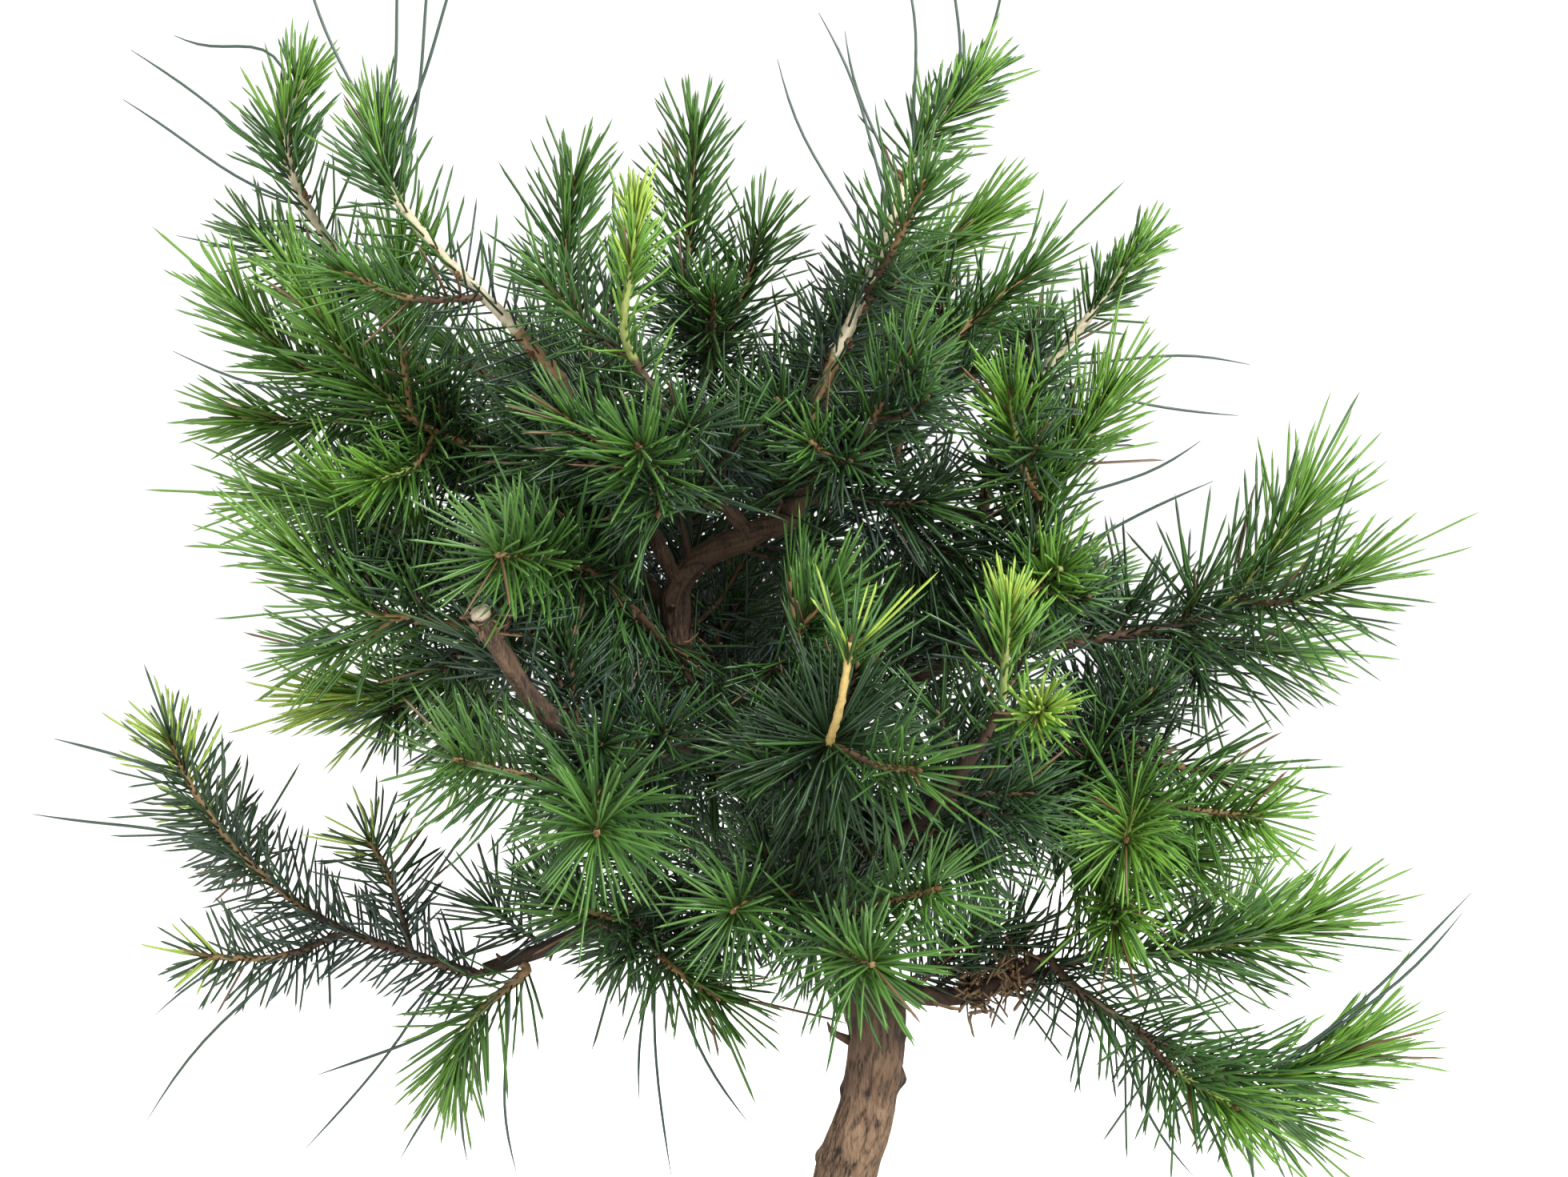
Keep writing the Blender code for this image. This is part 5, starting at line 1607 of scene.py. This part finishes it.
@dataclass
class Foliage:
    """Shoots and needles of every mass, and the short inner shoots that close the heart of the crown."""

    limbs: dict[str, Limb]
    core_centre: tuple = (-0.015, 0.025, 0.325)
    core_reach: tuple = (0.155, 0.150, 0.135)
    trunk_from: float = 0.62  # shares of the trunk and of a bough where inner shoots start
    bough_from: float = 0.22
    inner_spacing: float = 0.0072
    inner_lengths: tuple = (0.018, 0.034)
    inner_radii: tuple = (1.0 * MM, 0.7 * MM)
    inner_needles: tuple = (0.020, 0.027)
    finer_reach: tuple = (0.15, 0.8)  # shares of a stem between which finer twigs grow
    finer_spacing: float = 0.015
    finer_lengths: tuple = (0.014, 0.024)
    finer_radii: tuple = (0.9 * MM, 0.7 * MM)
    finer_needle: float = 0.8
    spacing_spread: tuple = (0.6, 1.4)
    upturn: tuple = (0.0, 0.5)
    ring_spacing: float = 1.5 * MM
    ring_swell: tuple = (0.86, 1.2)  # a stem is uneven where needles fell
    stem_sides: int = 6
    young_rind: float = 1.01  # a little wider than the old rind, where the two meet
    budding: float = 0.4  # share of the shoots that end in a bud
    bud_reach: float = 0.8  # share of a bare stem up to which side buds stand
    bud_group: tuple = (2, 5)  # two to four buds
    bud_gaps_mm: tuple = (10, 22)
    bud_scatter: float = 0.8 * MM
    bud_slant: tuple = (0, 0.9)
    bud_turn: float = 0.25
    long_rings: int = 12
    long_sides: int = 4
    long_radii: tuple = ((0, 0.15, 0.8, 1), (0.6, 0.72, 0.62, 0.12))  # shares along it, millimetres
    arc_rule: float = 3 / 8  # square of a shallow arc's bow, over its chord times what it is longer by
    least_bow: float = 0.05
    bow_share: float = 0.75  # of a needle's wave that bends one way
    wave_spread: tuple = (-0.35, 0.35)

    def stem_of(self, mass: Mass) -> Course:
        """The stem's course: squarely off the limb's end or its side, then through the mass's points.

        Args:
            mass: The mass.

        Returns:
            The course of its stem.
        """
        limb = self.limbs[mass.limb]
        run = mass.share * limb.course.length
        place, heading = limb.course.at(run), limb.course.heading(run)
        if mass.share == 1:
            out, start = heading, place + heading * CLEAR
        else:
            out = Vector(mass.course[0]) - place
            out = (out - out.project(heading)).normalized()
            start = place + out * (float(limb.radius(run)) + CLEAR)
        return Course([start, start + out * BARE_FOOT / 2, *mass.course])

    def twig_course(self, stem: Course, run: float, aside: Vector, length: float) -> Course:
        """A side twig that leaves the stem's middle and bends up towards the way the stem runs.

        Args:
            stem: The stem.
            run: Where the twig leaves it.
            aside: The side it leaves to, square to the stem.
            length: Its length.

        Returns:
            The course of the twig.
        """
        heading = stem.heading(run)
        out = heading * math.cos(TWIG_ANGLE) + aside * math.sin(TWIG_ANGLE)
        bent = (out + heading * TWIG_BEND + UP * TWIG_RISE).normalized()
        return bent_course(stem.at(run), out, bent, length)

    def side_twigs(self, name: str, mass: Mass, shoots: list[Shoot], taken: list, limb_points: list) -> None:
        """Grows side twigs from a mass's stem, each to the front or the back, where there is most room.

        Args:
            name: The mass's name.
            mass: The mass.
            shoots: Its shoots, which the twigs are added to.
            taken: Points of all shoots so far, which the twigs' points are added to.
            limb_points: Points of the limbs.
        """
        rng = Random(f"{SEED} twigs {name}")
        stem, habit = shoots[0].course, shoots[0].habit
        habit = BUSHY if habit in (WHORL_CANDLE, TUFT, SPIRE) else habit
        length = min(max(stem.length * TWIG_LENGTH_SHARE, TWIG_LEAST), TWIG_MOST)
        for share in TWIG_SHARES[: mass.twigs + 1]:
            if len(shoots) > mass.twigs + (1 if mass.fork else 0):
                return
            run = share * stem.length
            heading = stem.heading(run)
            depth = AWAY - AWAY.project(heading)
            if depth.length < 0.5:
                depth = RIGHT - RIGHT.project(heading)
            others = tree_of(taken + limb_points)
            best_room, best = TWIG_ROOM, None
            for way in (-1, 1):
                for turn in TWIG_TURNS:
                    swing = Quaternion(heading, math.radians(turn + rng.uniform(*TWIG_TURN_SPREAD)))
                    aside = swing @ (depth.normalized() * way)
                    course = self.twig_course(stem, run, aside, length * rng.uniform(*TWIG_LENGTH_SPREAD))
                    tested = course.places(course.marks(4 * STEP))
                    room = min(others.find(point)[2] for point in tested[len(tested) // 2 :])
                    if room > best_room:
                        best_room, best = room, course
            if best:
                shoots.append(Shoot(best, TWIG_ROOT, TWIG_TIP, mass.needle * TWIG_NEEDLE, habit))
                taken += list(best.places(best.marks(STEP)))

    def in_core(self, point: Vector) -> bool:
        """Whether a point is in the closed heart of the crown."""
        offsets = ((point[axis] - self.core_centre[axis]) / self.core_reach[axis] for axis in range(3))
        return sum(offset * offset for offset in offsets) < 1 and not in_window(point)

    def short_shoot(
        self, parent: Course, run: float, start_out: float, lengths: tuple, rng: Random
    ) -> Course:
        """A short shoot in any direction round its parent, turned a little upwards.

        Args:
            parent: The course that it grows from.
            run: Where on it.
            start_out: How far out from the parent's middle it starts.
            lengths: The least and the greatest length.
            rng: The seeded source of its direction and length.

        Returns:
            The course of the shoot.
        """
        heading = parent.heading(run)
        aside = Quaternion(heading, rng.uniform(0, math.tau)) @ heading.orthogonal().normalized()
        out = (heading * math.cos(TWIG_ANGLE) + aside * math.sin(TWIG_ANGLE)).normalized()
        length = rng.uniform(*lengths)
        bent = (out + UP * rng.uniform(*self.upturn)).normalized()
        return bent_course(parent.at(run) + aside * start_out, out, bent, length)

    def inner_shoots(self, shoots: list[Shoot]) -> list[Shoot]:
        """Short shoots along the boughs, and finer twigs on the stems, that stay in the heart of the crown.

        Args:
            shoots: The shoots of every mass.

        Returns:
            The short shoots and the finer twigs.
        """
        rng = Random(f"{SEED} inner shoots")
        inner = []
        for name, limb in self.limbs.items():
            run = (self.trunk_from if name == "trunk" else self.bough_from) * limb.course.length
            while run < limb.course.length:
                start_out = 0.5 * float(limb.radius(run))
                course = self.short_shoot(limb.course, run, start_out, self.inner_lengths, rng)
                if self.in_core(course.at(course.length)):
                    inner.append(Shoot(course, *self.inner_radii, rng.uniform(*self.inner_needles), HEART))
                run += self.inner_spacing * rng.uniform(*self.spacing_spread)
        first, last = self.finer_reach
        for shoot in shoots:
            run = first * shoot.course.length
            while run < last * shoot.course.length:
                course = self.short_shoot(shoot.course, run, 0.0, self.finer_lengths, rng)
                if self.in_core(course.at(course.length)):
                    inner.append(Shoot(course, *self.finer_radii, self.finer_needle * shoot.needle, HEART))
                run += self.finer_spacing * rng.uniform(*self.spacing_spread)
        return inner

    def plan(self) -> dict[str, list[Shoot]]:
        """The shoots of every mass: its stem, then its fork, then side twigs where there is room.

        Returns:
            The shoots, by the mass's name.
        """
        limb_points = [
            point for limb in self.limbs.values() for point in limb.course.places(limb.course.marks(STEP))
        ]
        plan, taken = {}, []
        for name, mass in MASSES.items():
            habit, stem = HABITS.get(name, BUSHY), self.stem_of(mass)
            shoots = [Shoot(stem, STEM_ROOT, STEM_TIP, mass.needle, habit)]
            if mass.fork:
                fork = Course([stem.at(mass.fork.share * stem.length), *mass.fork.points])
                shoots.append(Shoot(fork, TWIG_ROOT, TWIG_TIP, mass.needle, habit))
            plan[name] = shoots
            for shoot in shoots:
                taken += list(shoot.course.places(shoot.course.marks(STEP)))
        for name, mass in MASSES.items():
            self.side_twigs(name, mass, plan[name], taken, limb_points)
        return plan

    def stems(self, shoots: list[Shoot]) -> None:
        """Scarred stems of all shoots, joined by the colour of their rind, and the buds on them.

        Args:
            shoots: The shoots.
        """
        rng = np.random.default_rng(SEED + 2)
        skins = {rind: Skin() for rind in Rind}
        for shoot in shoots:
            course, habit = shoot.course, shoot.habit
            runs = course.marks(self.ring_spacing)
            places = course.places(runs)
            radii = shoot.root + (shoot.tip - shoot.root) * runs / course.length
            radii = habit.stout * radii[:, None] * rng.uniform(*self.ring_swell, (len(runs), self.stem_sides))
            split = max(2, int(habit.rind_split * (len(runs) - 1)))
            old, young = (skins[rind] for rind in habit.rinds)
            old.tube(places[: split + 1], radii[: split + 1], self.stem_sides)
            if split < len(runs) - 2:
                young.tube(places[split:], radii[split:] * self.young_rind, self.stem_sides)
            if habit is SPIRE:
                self.bud_clusters(course, skins[Rind.BUD], rng)
            if rng.random() < self.budding:
                skins[Rind.BUD].spike(places[-1], np.array(course.last_heading), END_BUD)
        for rind, skin in skins.items():
            if skin.count:
                obj = skin.build(f"shoots_{rind.name.lower()}", ShootRind(rind).material())

    def bud_clusters(self, course: Course, skin: Skin, rng: np.random.Generator) -> None:
        """Small groups of dry side buds along a bare stem, each group on one side of it.

        Args:
            course: The stem's course.
            skin: The skin that the buds are added to.
            rng: The seeded source of their places.
        """
        run = BARE_FOOT * 2
        while run < self.bud_reach * course.length:
            heading = np.array(course.heading(run))
            out = unit(np.cross(heading, rng.normal(size=3)))
            for _ in range(rng.integers(*self.bud_group)):
                start = np.array(course.at(run + rng.normal(0, self.bud_scatter)))
                way = unit(out + heading * rng.uniform(*self.bud_slant) + rng.normal(0, self.bud_turn, 3))
                skin.spike(start, way, SIDE_BUD)
            run += rng.uniform(*self.bud_gaps_mm) * MM

    def long_needles(self, plan: dict[str, list[Shoot]]) -> bpy.types.Object:
        """The few needles that reach far out of the crown, each in a slow curve.

        Args:
            plan: The shoots of every mass.

        Returns:
            The piece.
        """
        rng = np.random.default_rng(SEED + 3)
        skin = Skin()
        shares = np.linspace(0, 1, self.long_rings)
        for needle in LONG_NEEDLES:
            stem = plan[needle.mass][0].course
            root = stem.places(np.array([needle.share * stem.length]))[0]
            chord = np.array(needle.tip) - root
            span = float(np.linalg.norm(chord))
            bow = math.sqrt(max(0.0, self.arc_rule * span * (needle.length - span))) + self.least_bow * span
            aside = unit(np.cross(chord, AWAY)) * rng.choice((-1, 1))
            wave = np.sin(math.pi * shares) * self.bow_share
            wave += np.sin(math.tau * shares) * rng.uniform(*self.wave_spread)
            places = root + chord * shares[:, None] + aside * bow * wave[:, None]
            skin.tube(places, np.interp(shares, *self.long_radii) * MM, self.long_sides)
        obj = skin.build("needles_long", PineNeedle(Tone.OLD).material())
        return obj

    def build(self) -> int:
        """Makes all shoots and needles, which replace the nodes of foliage.

        Returns:
            How many needles there are.
        """
        plan = self.plan()
        shoots = [shoot for group in plan.values() for shoot in group]
        shoots += self.inner_shoots(shoots)
        self.stems(shoots)
        needles = Needles(self.limbs)
        rng = np.random.default_rng(SEED)
        for shoot in shoots:
            needles.on_shoot(shoot, rng)
        for name, share, spread, count in DRY_CLUMPS:
            course = self.limbs[name].course
            needles.tuft(course.places(np.array([share * course.length]))[0], spread, count, rng)
        pieces = needles.build()
        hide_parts(*(f"foliage_{name}" for name in MASSES))
        self.long_needles(plan)
        return len(needles.rows)


@dataclass
class Pot:
    """A plain rounded rectangular pot of stoneware with a lip and two drain holes."""

    length: float = 0.250
    depth: float = 0.190
    height: float = 0.076
    corner: float = 0.038
    corner_ease: float = 0.6  # how much of an inset the corner's radius gives up
    foot_inset: float = 0.020
    wall: float = 0.007
    floor: float = 0.009
    lip_width: float = 0.006
    lip_height: float = 0.011
    edge: float = 0.0015
    drain_radius: float = 0.006
    drain_x: float = 0.055
    drain_sides: int = 40
    arc_points: int = 14
    crease: float = math.radians(40)  # edges sharper than this stay crisp

    @property
    def inside(self) -> float:
        """How far in from the lip's outer edge the inner wall lies."""
        return self.lip_width + self.wall

    def outline(self, z: float, inset: float) -> list[Vector]:
        """The pot's rounded outline at a height, moved in from its outer wall.

        Args:
            z: The height.
            inset: How far it is moved in.

        Returns:
            Its points, in order round the pot.
        """
        inset += self.foot_inset * (1 - z / self.height)
        corner = self.corner - self.corner_ease * inset
        across, deep = self.length / 2 - inset - corner, self.depth / 2 - inset - corner
        points = []
        for quarter, (right, away) in enumerate(((1, 1), (-1, 1), (-1, -1), (1, -1))):
            centre = Vector((right * across, away * deep, z))
            for step in range(self.arc_points):
                angle = (quarter + step / (self.arc_points - 1)) * math.pi / 2
                points.append(centre + corner * Vector((math.cos(angle), math.sin(angle), 0)))
        return points

    def profile(self) -> list[tuple[float, float]]:
        """The pot's section, from the underside up over the lip and down to the inner floor.

        Returns:
            The height and the inset of each of its points.
        """
        edge, top, lip, inner = self.edge, self.height, self.lip_width, self.inside
        under, bevel = top - self.lip_height, 0.3 * edge
        rows = [(0, lip + edge), (bevel, lip + bevel), (edge, lip)]
        rows += [(z, lip) for z in (0.25 * under, 0.5 * under, 0.75 * under, under - edge)]
        rows += [(under, lip - 0.2 * edge), (under + bevel, 1.2 * edge), (under + edge, bevel)]
        rows += [(under + 2 * edge, 0), (top - edge, 0), (top - bevel, bevel), (top, edge)]
        rows += [(top, inner - edge), (top - bevel, inner - bevel), (top - edge, inner)]
        return rows + [(0.5 * top, inner), (self.floor, inner)]

    def build(self) -> bpy.types.Object:
        """The pot, which replaces its node.

        Returns:
            The piece.
        """
        loops = np.array([self.outline(z, inset) for z, inset in self.profile()])
        triangles = closed_triangles(*loops.shape[:2])
        obj = build_mesh("pot_stoneware", loops.reshape(-1, 3), triangles, STONEWARE.material())
        self.drill(obj)
        obj.data.shade_smooth()
        obj.data.set_sharp_from_angle(angle=self.crease)
        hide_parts("pot")
        return obj

    def drill(self, obj: bpy.types.Object) -> None:
        """Cuts the drain holes through the floor of the pot.

        Args:
            obj: The pot.
        """
        for x in (-self.drain_x, self.drain_x):
            bpy.ops.mesh.primitive_cylinder_add(
                vertices=self.drain_sides, radius=self.drain_radius, depth=4 * self.floor, location=(x, 0, 0)
            )
            cutter = bpy.context.object
            cut = obj.modifiers.new("drain", "BOOLEAN")
            cut.operation, cut.object = "DIFFERENCE", cutter
            whole = obj.evaluated_get(bpy.context.evaluated_depsgraph_get())
            drilled = bpy.data.meshes.new_from_object(whole)
            obj.modifiers.remove(cut)
            obj.data = drilled
            bpy.data.objects.remove(cutter)


@dataclass
class Soil:
    """Soil that fills the pot, uneven on top, with grit and a few fallen needles on it."""

    pot: Pot
    edge_z: float = 0.064
    ground_z: float = 0.068
    ground_spread: float = 1.15  # more than one, so that the soil is level round the trunk
    rings: tuple = (0.01, 0.985, 34)  # shares of the way in from the rim, and how many rings
    lump_width: float = 5 * MM
    lump_height_mm: float = 0.9
    sunk: float = 0.8 * MM  # below the solid's surface, so that lumps stay about level with it
    grains: int = 1500
    grain_radii_mm: tuple = (0.8, 2.1)
    grain_knobs: tuple = (0.7, 1.25)
    grain_stretch: tuple = (0.7, 1.2)
    grain_margin: float = 5 * MM
    corner_margin: float = 2 * MM
    grain_sunk: float = 0.2 * MM
    foot_reach: float = 0.027  # no grains in the trunk's foot
    needles: int = 46
    needle_reach: tuple = (0.034, 0.070)
    needle_widen: float = 1.25  # they lie in an oval, wider than it is deep
    needle_halves: tuple = (0.008, 0.012)  # half their length
    needle_lift: float = 1.6 * MM  # they lie on the grit
    needle_bend: tuple = (-0.3, 0.3)
    needle_line: tuple = ((-1, -0.3, 0.4, 1), (0, 1, 1, 0))  # shares of its half and of its bend
    needle_radii_mm: tuple = (0.4, 0.5, 0.45, 0.1)

    def height(self, x: float, y: float) -> float:
        """Height of the soil's surface.

        Args:
            x: The place, to the right.
            y: The place, away from the front.

        Returns:
            The height, without the lumps.
        """
        reach = max(abs(x) / (self.pot.length / 2), abs(y) / (self.pot.depth / 2))
        rise = math.cos(min(1.0, reach) * math.pi / 2)
        return self.edge_z + (self.ground_z - self.edge_z) * min(1.0, self.ground_spread * rise)

    def bed(self) -> bpy.types.Object:
        """The soil itself, which replaces its node.

        Returns:
            The piece.
        """
        inner = self.pot.inside + CLEAR
        loops = [self.pot.outline(z, inner) for z in (self.pot.floor + CLEAR, self.edge_z - 1 * MM)]
        rim = self.pot.outline(self.edge_z, inner)
        for share in np.linspace(*self.rings):
            loop = []
            for point in rim:
                x, y = point.x * (1 - share), point.y * (1 - share)
                lump = noise.noise(Vector((x, y, 0)) / self.lump_width) * self.lump_height_mm * MM
                loop.append(Vector((x, y, self.height(x, y) + lump - self.sunk)))
            loops.append(loop)
        rows = np.array(loops)
        triangles = closed_triangles(*rows.shape[:2])
        obj = build_mesh("soil_bed", rows.reshape(-1, 3), triangles, POTTING_SOIL.material())
        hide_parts("soil")
        return obj

    def grit(self) -> None:
        """Grains of two colours strewn over the soil, each a small knobbly stone."""
        rng = np.random.default_rng(SEED + 4)
        bpy.ops.mesh.primitive_ico_sphere_add(subdivisions=1, radius=1)
        stone = bpy.context.object
        shape = np.array([vertex.co for vertex in stone.data.vertices])
        faces = np.array([polygon.vertices for polygon in stone.data.polygons])
        bpy.data.objects.remove(stone)
        dark, tan = Skin(), Skin()
        half_length, half_depth, corner = self.pot.length / 2, self.pot.depth / 2, self.pot.corner
        inner = self.pot.inside + self.grain_margin
        for grain in range(self.grains):
            x = rng.uniform(-1, 1) * (half_length - inner)
            y = rng.uniform(-1, 1) * (half_depth - inner)
            over_x = max(0, abs(x) - (half_length - corner))
            over_y = max(0, abs(y) - (half_depth - corner))
            if math.hypot(over_x, over_y) > corner - inner - self.corner_margin:
                continue
            size = rng.uniform(*self.grain_radii_mm) * MM
            if math.hypot(x, y) < self.foot_reach + size:
                continue
            knobbly = shape * size * rng.uniform(*self.grain_knobs, (len(shape), 1))
            knobbly *= rng.uniform(*self.grain_stretch, 3)
            place = np.array([x, y, self.height(x, y) - self.grain_sunk])
            (dark if grain % 3 else tan).add(knobbly + place, faces)
        for name, skin, finish in (("grit_dark", dark, GRIT_DARK), ("grit_tan", tan, GRIT_TAN)):
            skin.build(name, finish.material(), smooth=False)

    def litter(self) -> bpy.types.Object:
        """Fallen needles lying on the soil.

        Returns:
            The piece.
        """
        rng = np.random.default_rng(SEED + 5)
        skin = Skin()
        along, aside = (np.array(shares)[:, None] for shares in self.needle_line)
        for _ in range(self.needles):
            angle, far = rng.uniform(0, math.tau), rng.uniform(*self.needle_reach)
            x, y = far * self.needle_widen * math.cos(angle), far * math.sin(angle)
            turn = rng.uniform(0, math.tau)
            way = np.array([math.cos(turn), math.sin(turn), 0]) * rng.uniform(*self.needle_halves)
            middle = np.array([x, y, self.height(x, y) + self.needle_lift])
            bend = np.array([-way[1], way[0], 0]) * rng.uniform(*self.needle_bend)
            places = middle + along * way + aside * bend
            skin.tube(places, np.array(self.needle_radii_mm) * MM, 4)
        obj = skin.build("fallen_needles", PineNeedle(Tone.DEAD).material())
        return obj

    def build(self) -> None:
        """Makes the bed, the grit and the fallen needles."""
        self.bed()
        self.grit()
        self.litter()


@dataclass
class Studio:
    """Pale floor, soft light and the camera of the photograph's view."""

    image_width: int = 1960
    metres_a_pixel: float = 0.28 * MM
    distance: float = 1.3
    elevation: float = math.radians(4)
    centre_x: float = -0.01176
    centre_z: float = 0.340
    sensor_mm: float = 36.0
    farthest: float = 60
    softboxes: tuple = (
        ("key_softbox", (0.85, -1.25, 1.45), 0.50, 58),
        ("fill_softbox", (-1.3, -1.2, 0.7), 0.9, 8),
        ("rim_softbox", (0.1, 1.5, 1.3), 0.8, 16),
    )  # name, place, size and watts
    floor_radius: float = 9
    floor_glow: float = 0.66  # makes the paper show nearly white
    level_on_tree: float = 0.45
    level_to_camera: float = 1.1

    def camera(self) -> bpy.types.Object:
        """A camera square to the front, a little above the tree's middle.

        Returns:
            The camera.
        """
        half_width = self.image_width * self.metres_a_pixel / 2
        data = bpy.data.cameras.new("photo_view")
        data.sensor_fit, data.sensor_width = "HORIZONTAL", self.sensor_mm
        data.lens = self.sensor_mm / 2 * self.distance / half_width
        data.clip_end = self.farthest
        obj = bpy.data.objects.new("photo_view", data)
        away = Vector((0, -math.cos(self.elevation), math.sin(self.elevation)))
        obj.location = Vector((self.centre_x, 0, self.centre_z)) + away * self.distance
        obj.rotation_euler = (math.pi / 2 - self.elevation, 0, 0)
        bpy.context.scene.collection.objects.link(obj)
        bpy.context.scene.camera = obj
        return obj

    def light(self, name: str, place: tuple, size: float, watts: float) -> bpy.types.Object:
        """A square soft light that faces the middle of the tree.

        Args:
            name: Its name.
            place: Where it hangs.
            size: The length of its side.
            watts: Its power.

        Returns:
            The light.
        """
        data = bpy.data.lights.new(name, "AREA")
        data.size, data.energy = size, watts
        obj = bpy.data.objects.new(name, data)
        obj.location = place
        facing = Vector((0, 0, self.centre_z)) - Vector(place)
        obj.rotation_euler = facing.to_track_quat("-Z", "Y").to_euler()
        bpy.context.scene.collection.objects.link(obj)
        return obj

    def floor(self) -> bpy.types.Object:
        """A wide pale floor under the pot.

        Returns:
            The floor.
        """
        bpy.ops.mesh.primitive_circle_add(
            vertices=96, radius=self.floor_radius, fill_type="NGON", location=(0, 0, 0)
        )
        obj = bpy.context.object
        obj.name = "studio_floor"
        material = new_material("studio_paper_matt", "#f2f2f0", 0.9)
        shader_of(material).inputs["Emission Color"].default_value = WHITE
        shader_of(material).inputs["Emission Strength"].default_value = self.floor_glow
        obj.data.materials.append(material)
        obj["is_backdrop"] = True
        return obj

    def world(self) -> None:
        """White surroundings: bright to the camera, softer as light on the tree."""
        world = bpy.data.worlds.new("studio_white")
        world.use_nodes = True
        tree = world.node_tree
        tree.nodes.clear()
        path = add_node(tree, "ShaderNodeLightPath")
        level = add_node(
            tree,
            "ShaderNodeMapRange",
            {"To Min": self.level_on_tree, "To Max": self.level_to_camera},
            {"Value": path.outputs["Is Camera Ray"]},
        )
        strength = {"Strength": level.outputs["Result"]}
        white = add_node(tree, "ShaderNodeBackground", {"Color": WHITE}, strength)
        add_node(tree, "ShaderNodeOutputWorld", links={"Surface": white.outputs["Background"]})
        bpy.context.scene.world = world

    def build(self) -> None:
        """Sets the stage."""
        self.camera()
        for softbox in self.softboxes:
            self.light(*softbox)
        self.floor()
        self.world()
        bpy.context.scene.view_settings.view_transform = "Standard"
        bpy.context.scene.view_settings.look = "None"


def box_of(bounds: tuple) -> list[list[float]]:
    """A pair of corners as plain lists."""
    return [[float(value) for value in corner] for corner in bounds]


cad_box = box_of(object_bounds())
ROOM = 6 * MM  # how far past the solids' box a needle may reach
LOWEST, HIGHEST = (np.array(corner) for corner in cad_box)


def main() -> None:
    """Builds the stage, the limbs, the foliage, the pot and the soil."""
    logging.basicConfig(level=logging.INFO, format="%(message)s")
    log = logging.getLogger("bonsai")
    Studio().build()
    log.info("stage: floor, lights and camera")
    limbs = {"trunk": Limb([row[:3] for row in TRUNK], [row[3] for row in TRUNK])}
    limbs |= {name: Limb(bough.points, [bough.root, bough.tip]) for name, bough in BOUGHS.items()}
    BarkedLimbs(limbs).build()
    log.info("limbs: the trunk and %d boughs", len(BOUGHS))
    count = Foliage(limbs).build()
    log.info("foliage: %d needles on %d masses", count, len(MASSES))
    pot = Pot()
    pot.build()
    Soil(pot).build()
    log.info("pot and soil")


if __name__ == "__main__":
    main()
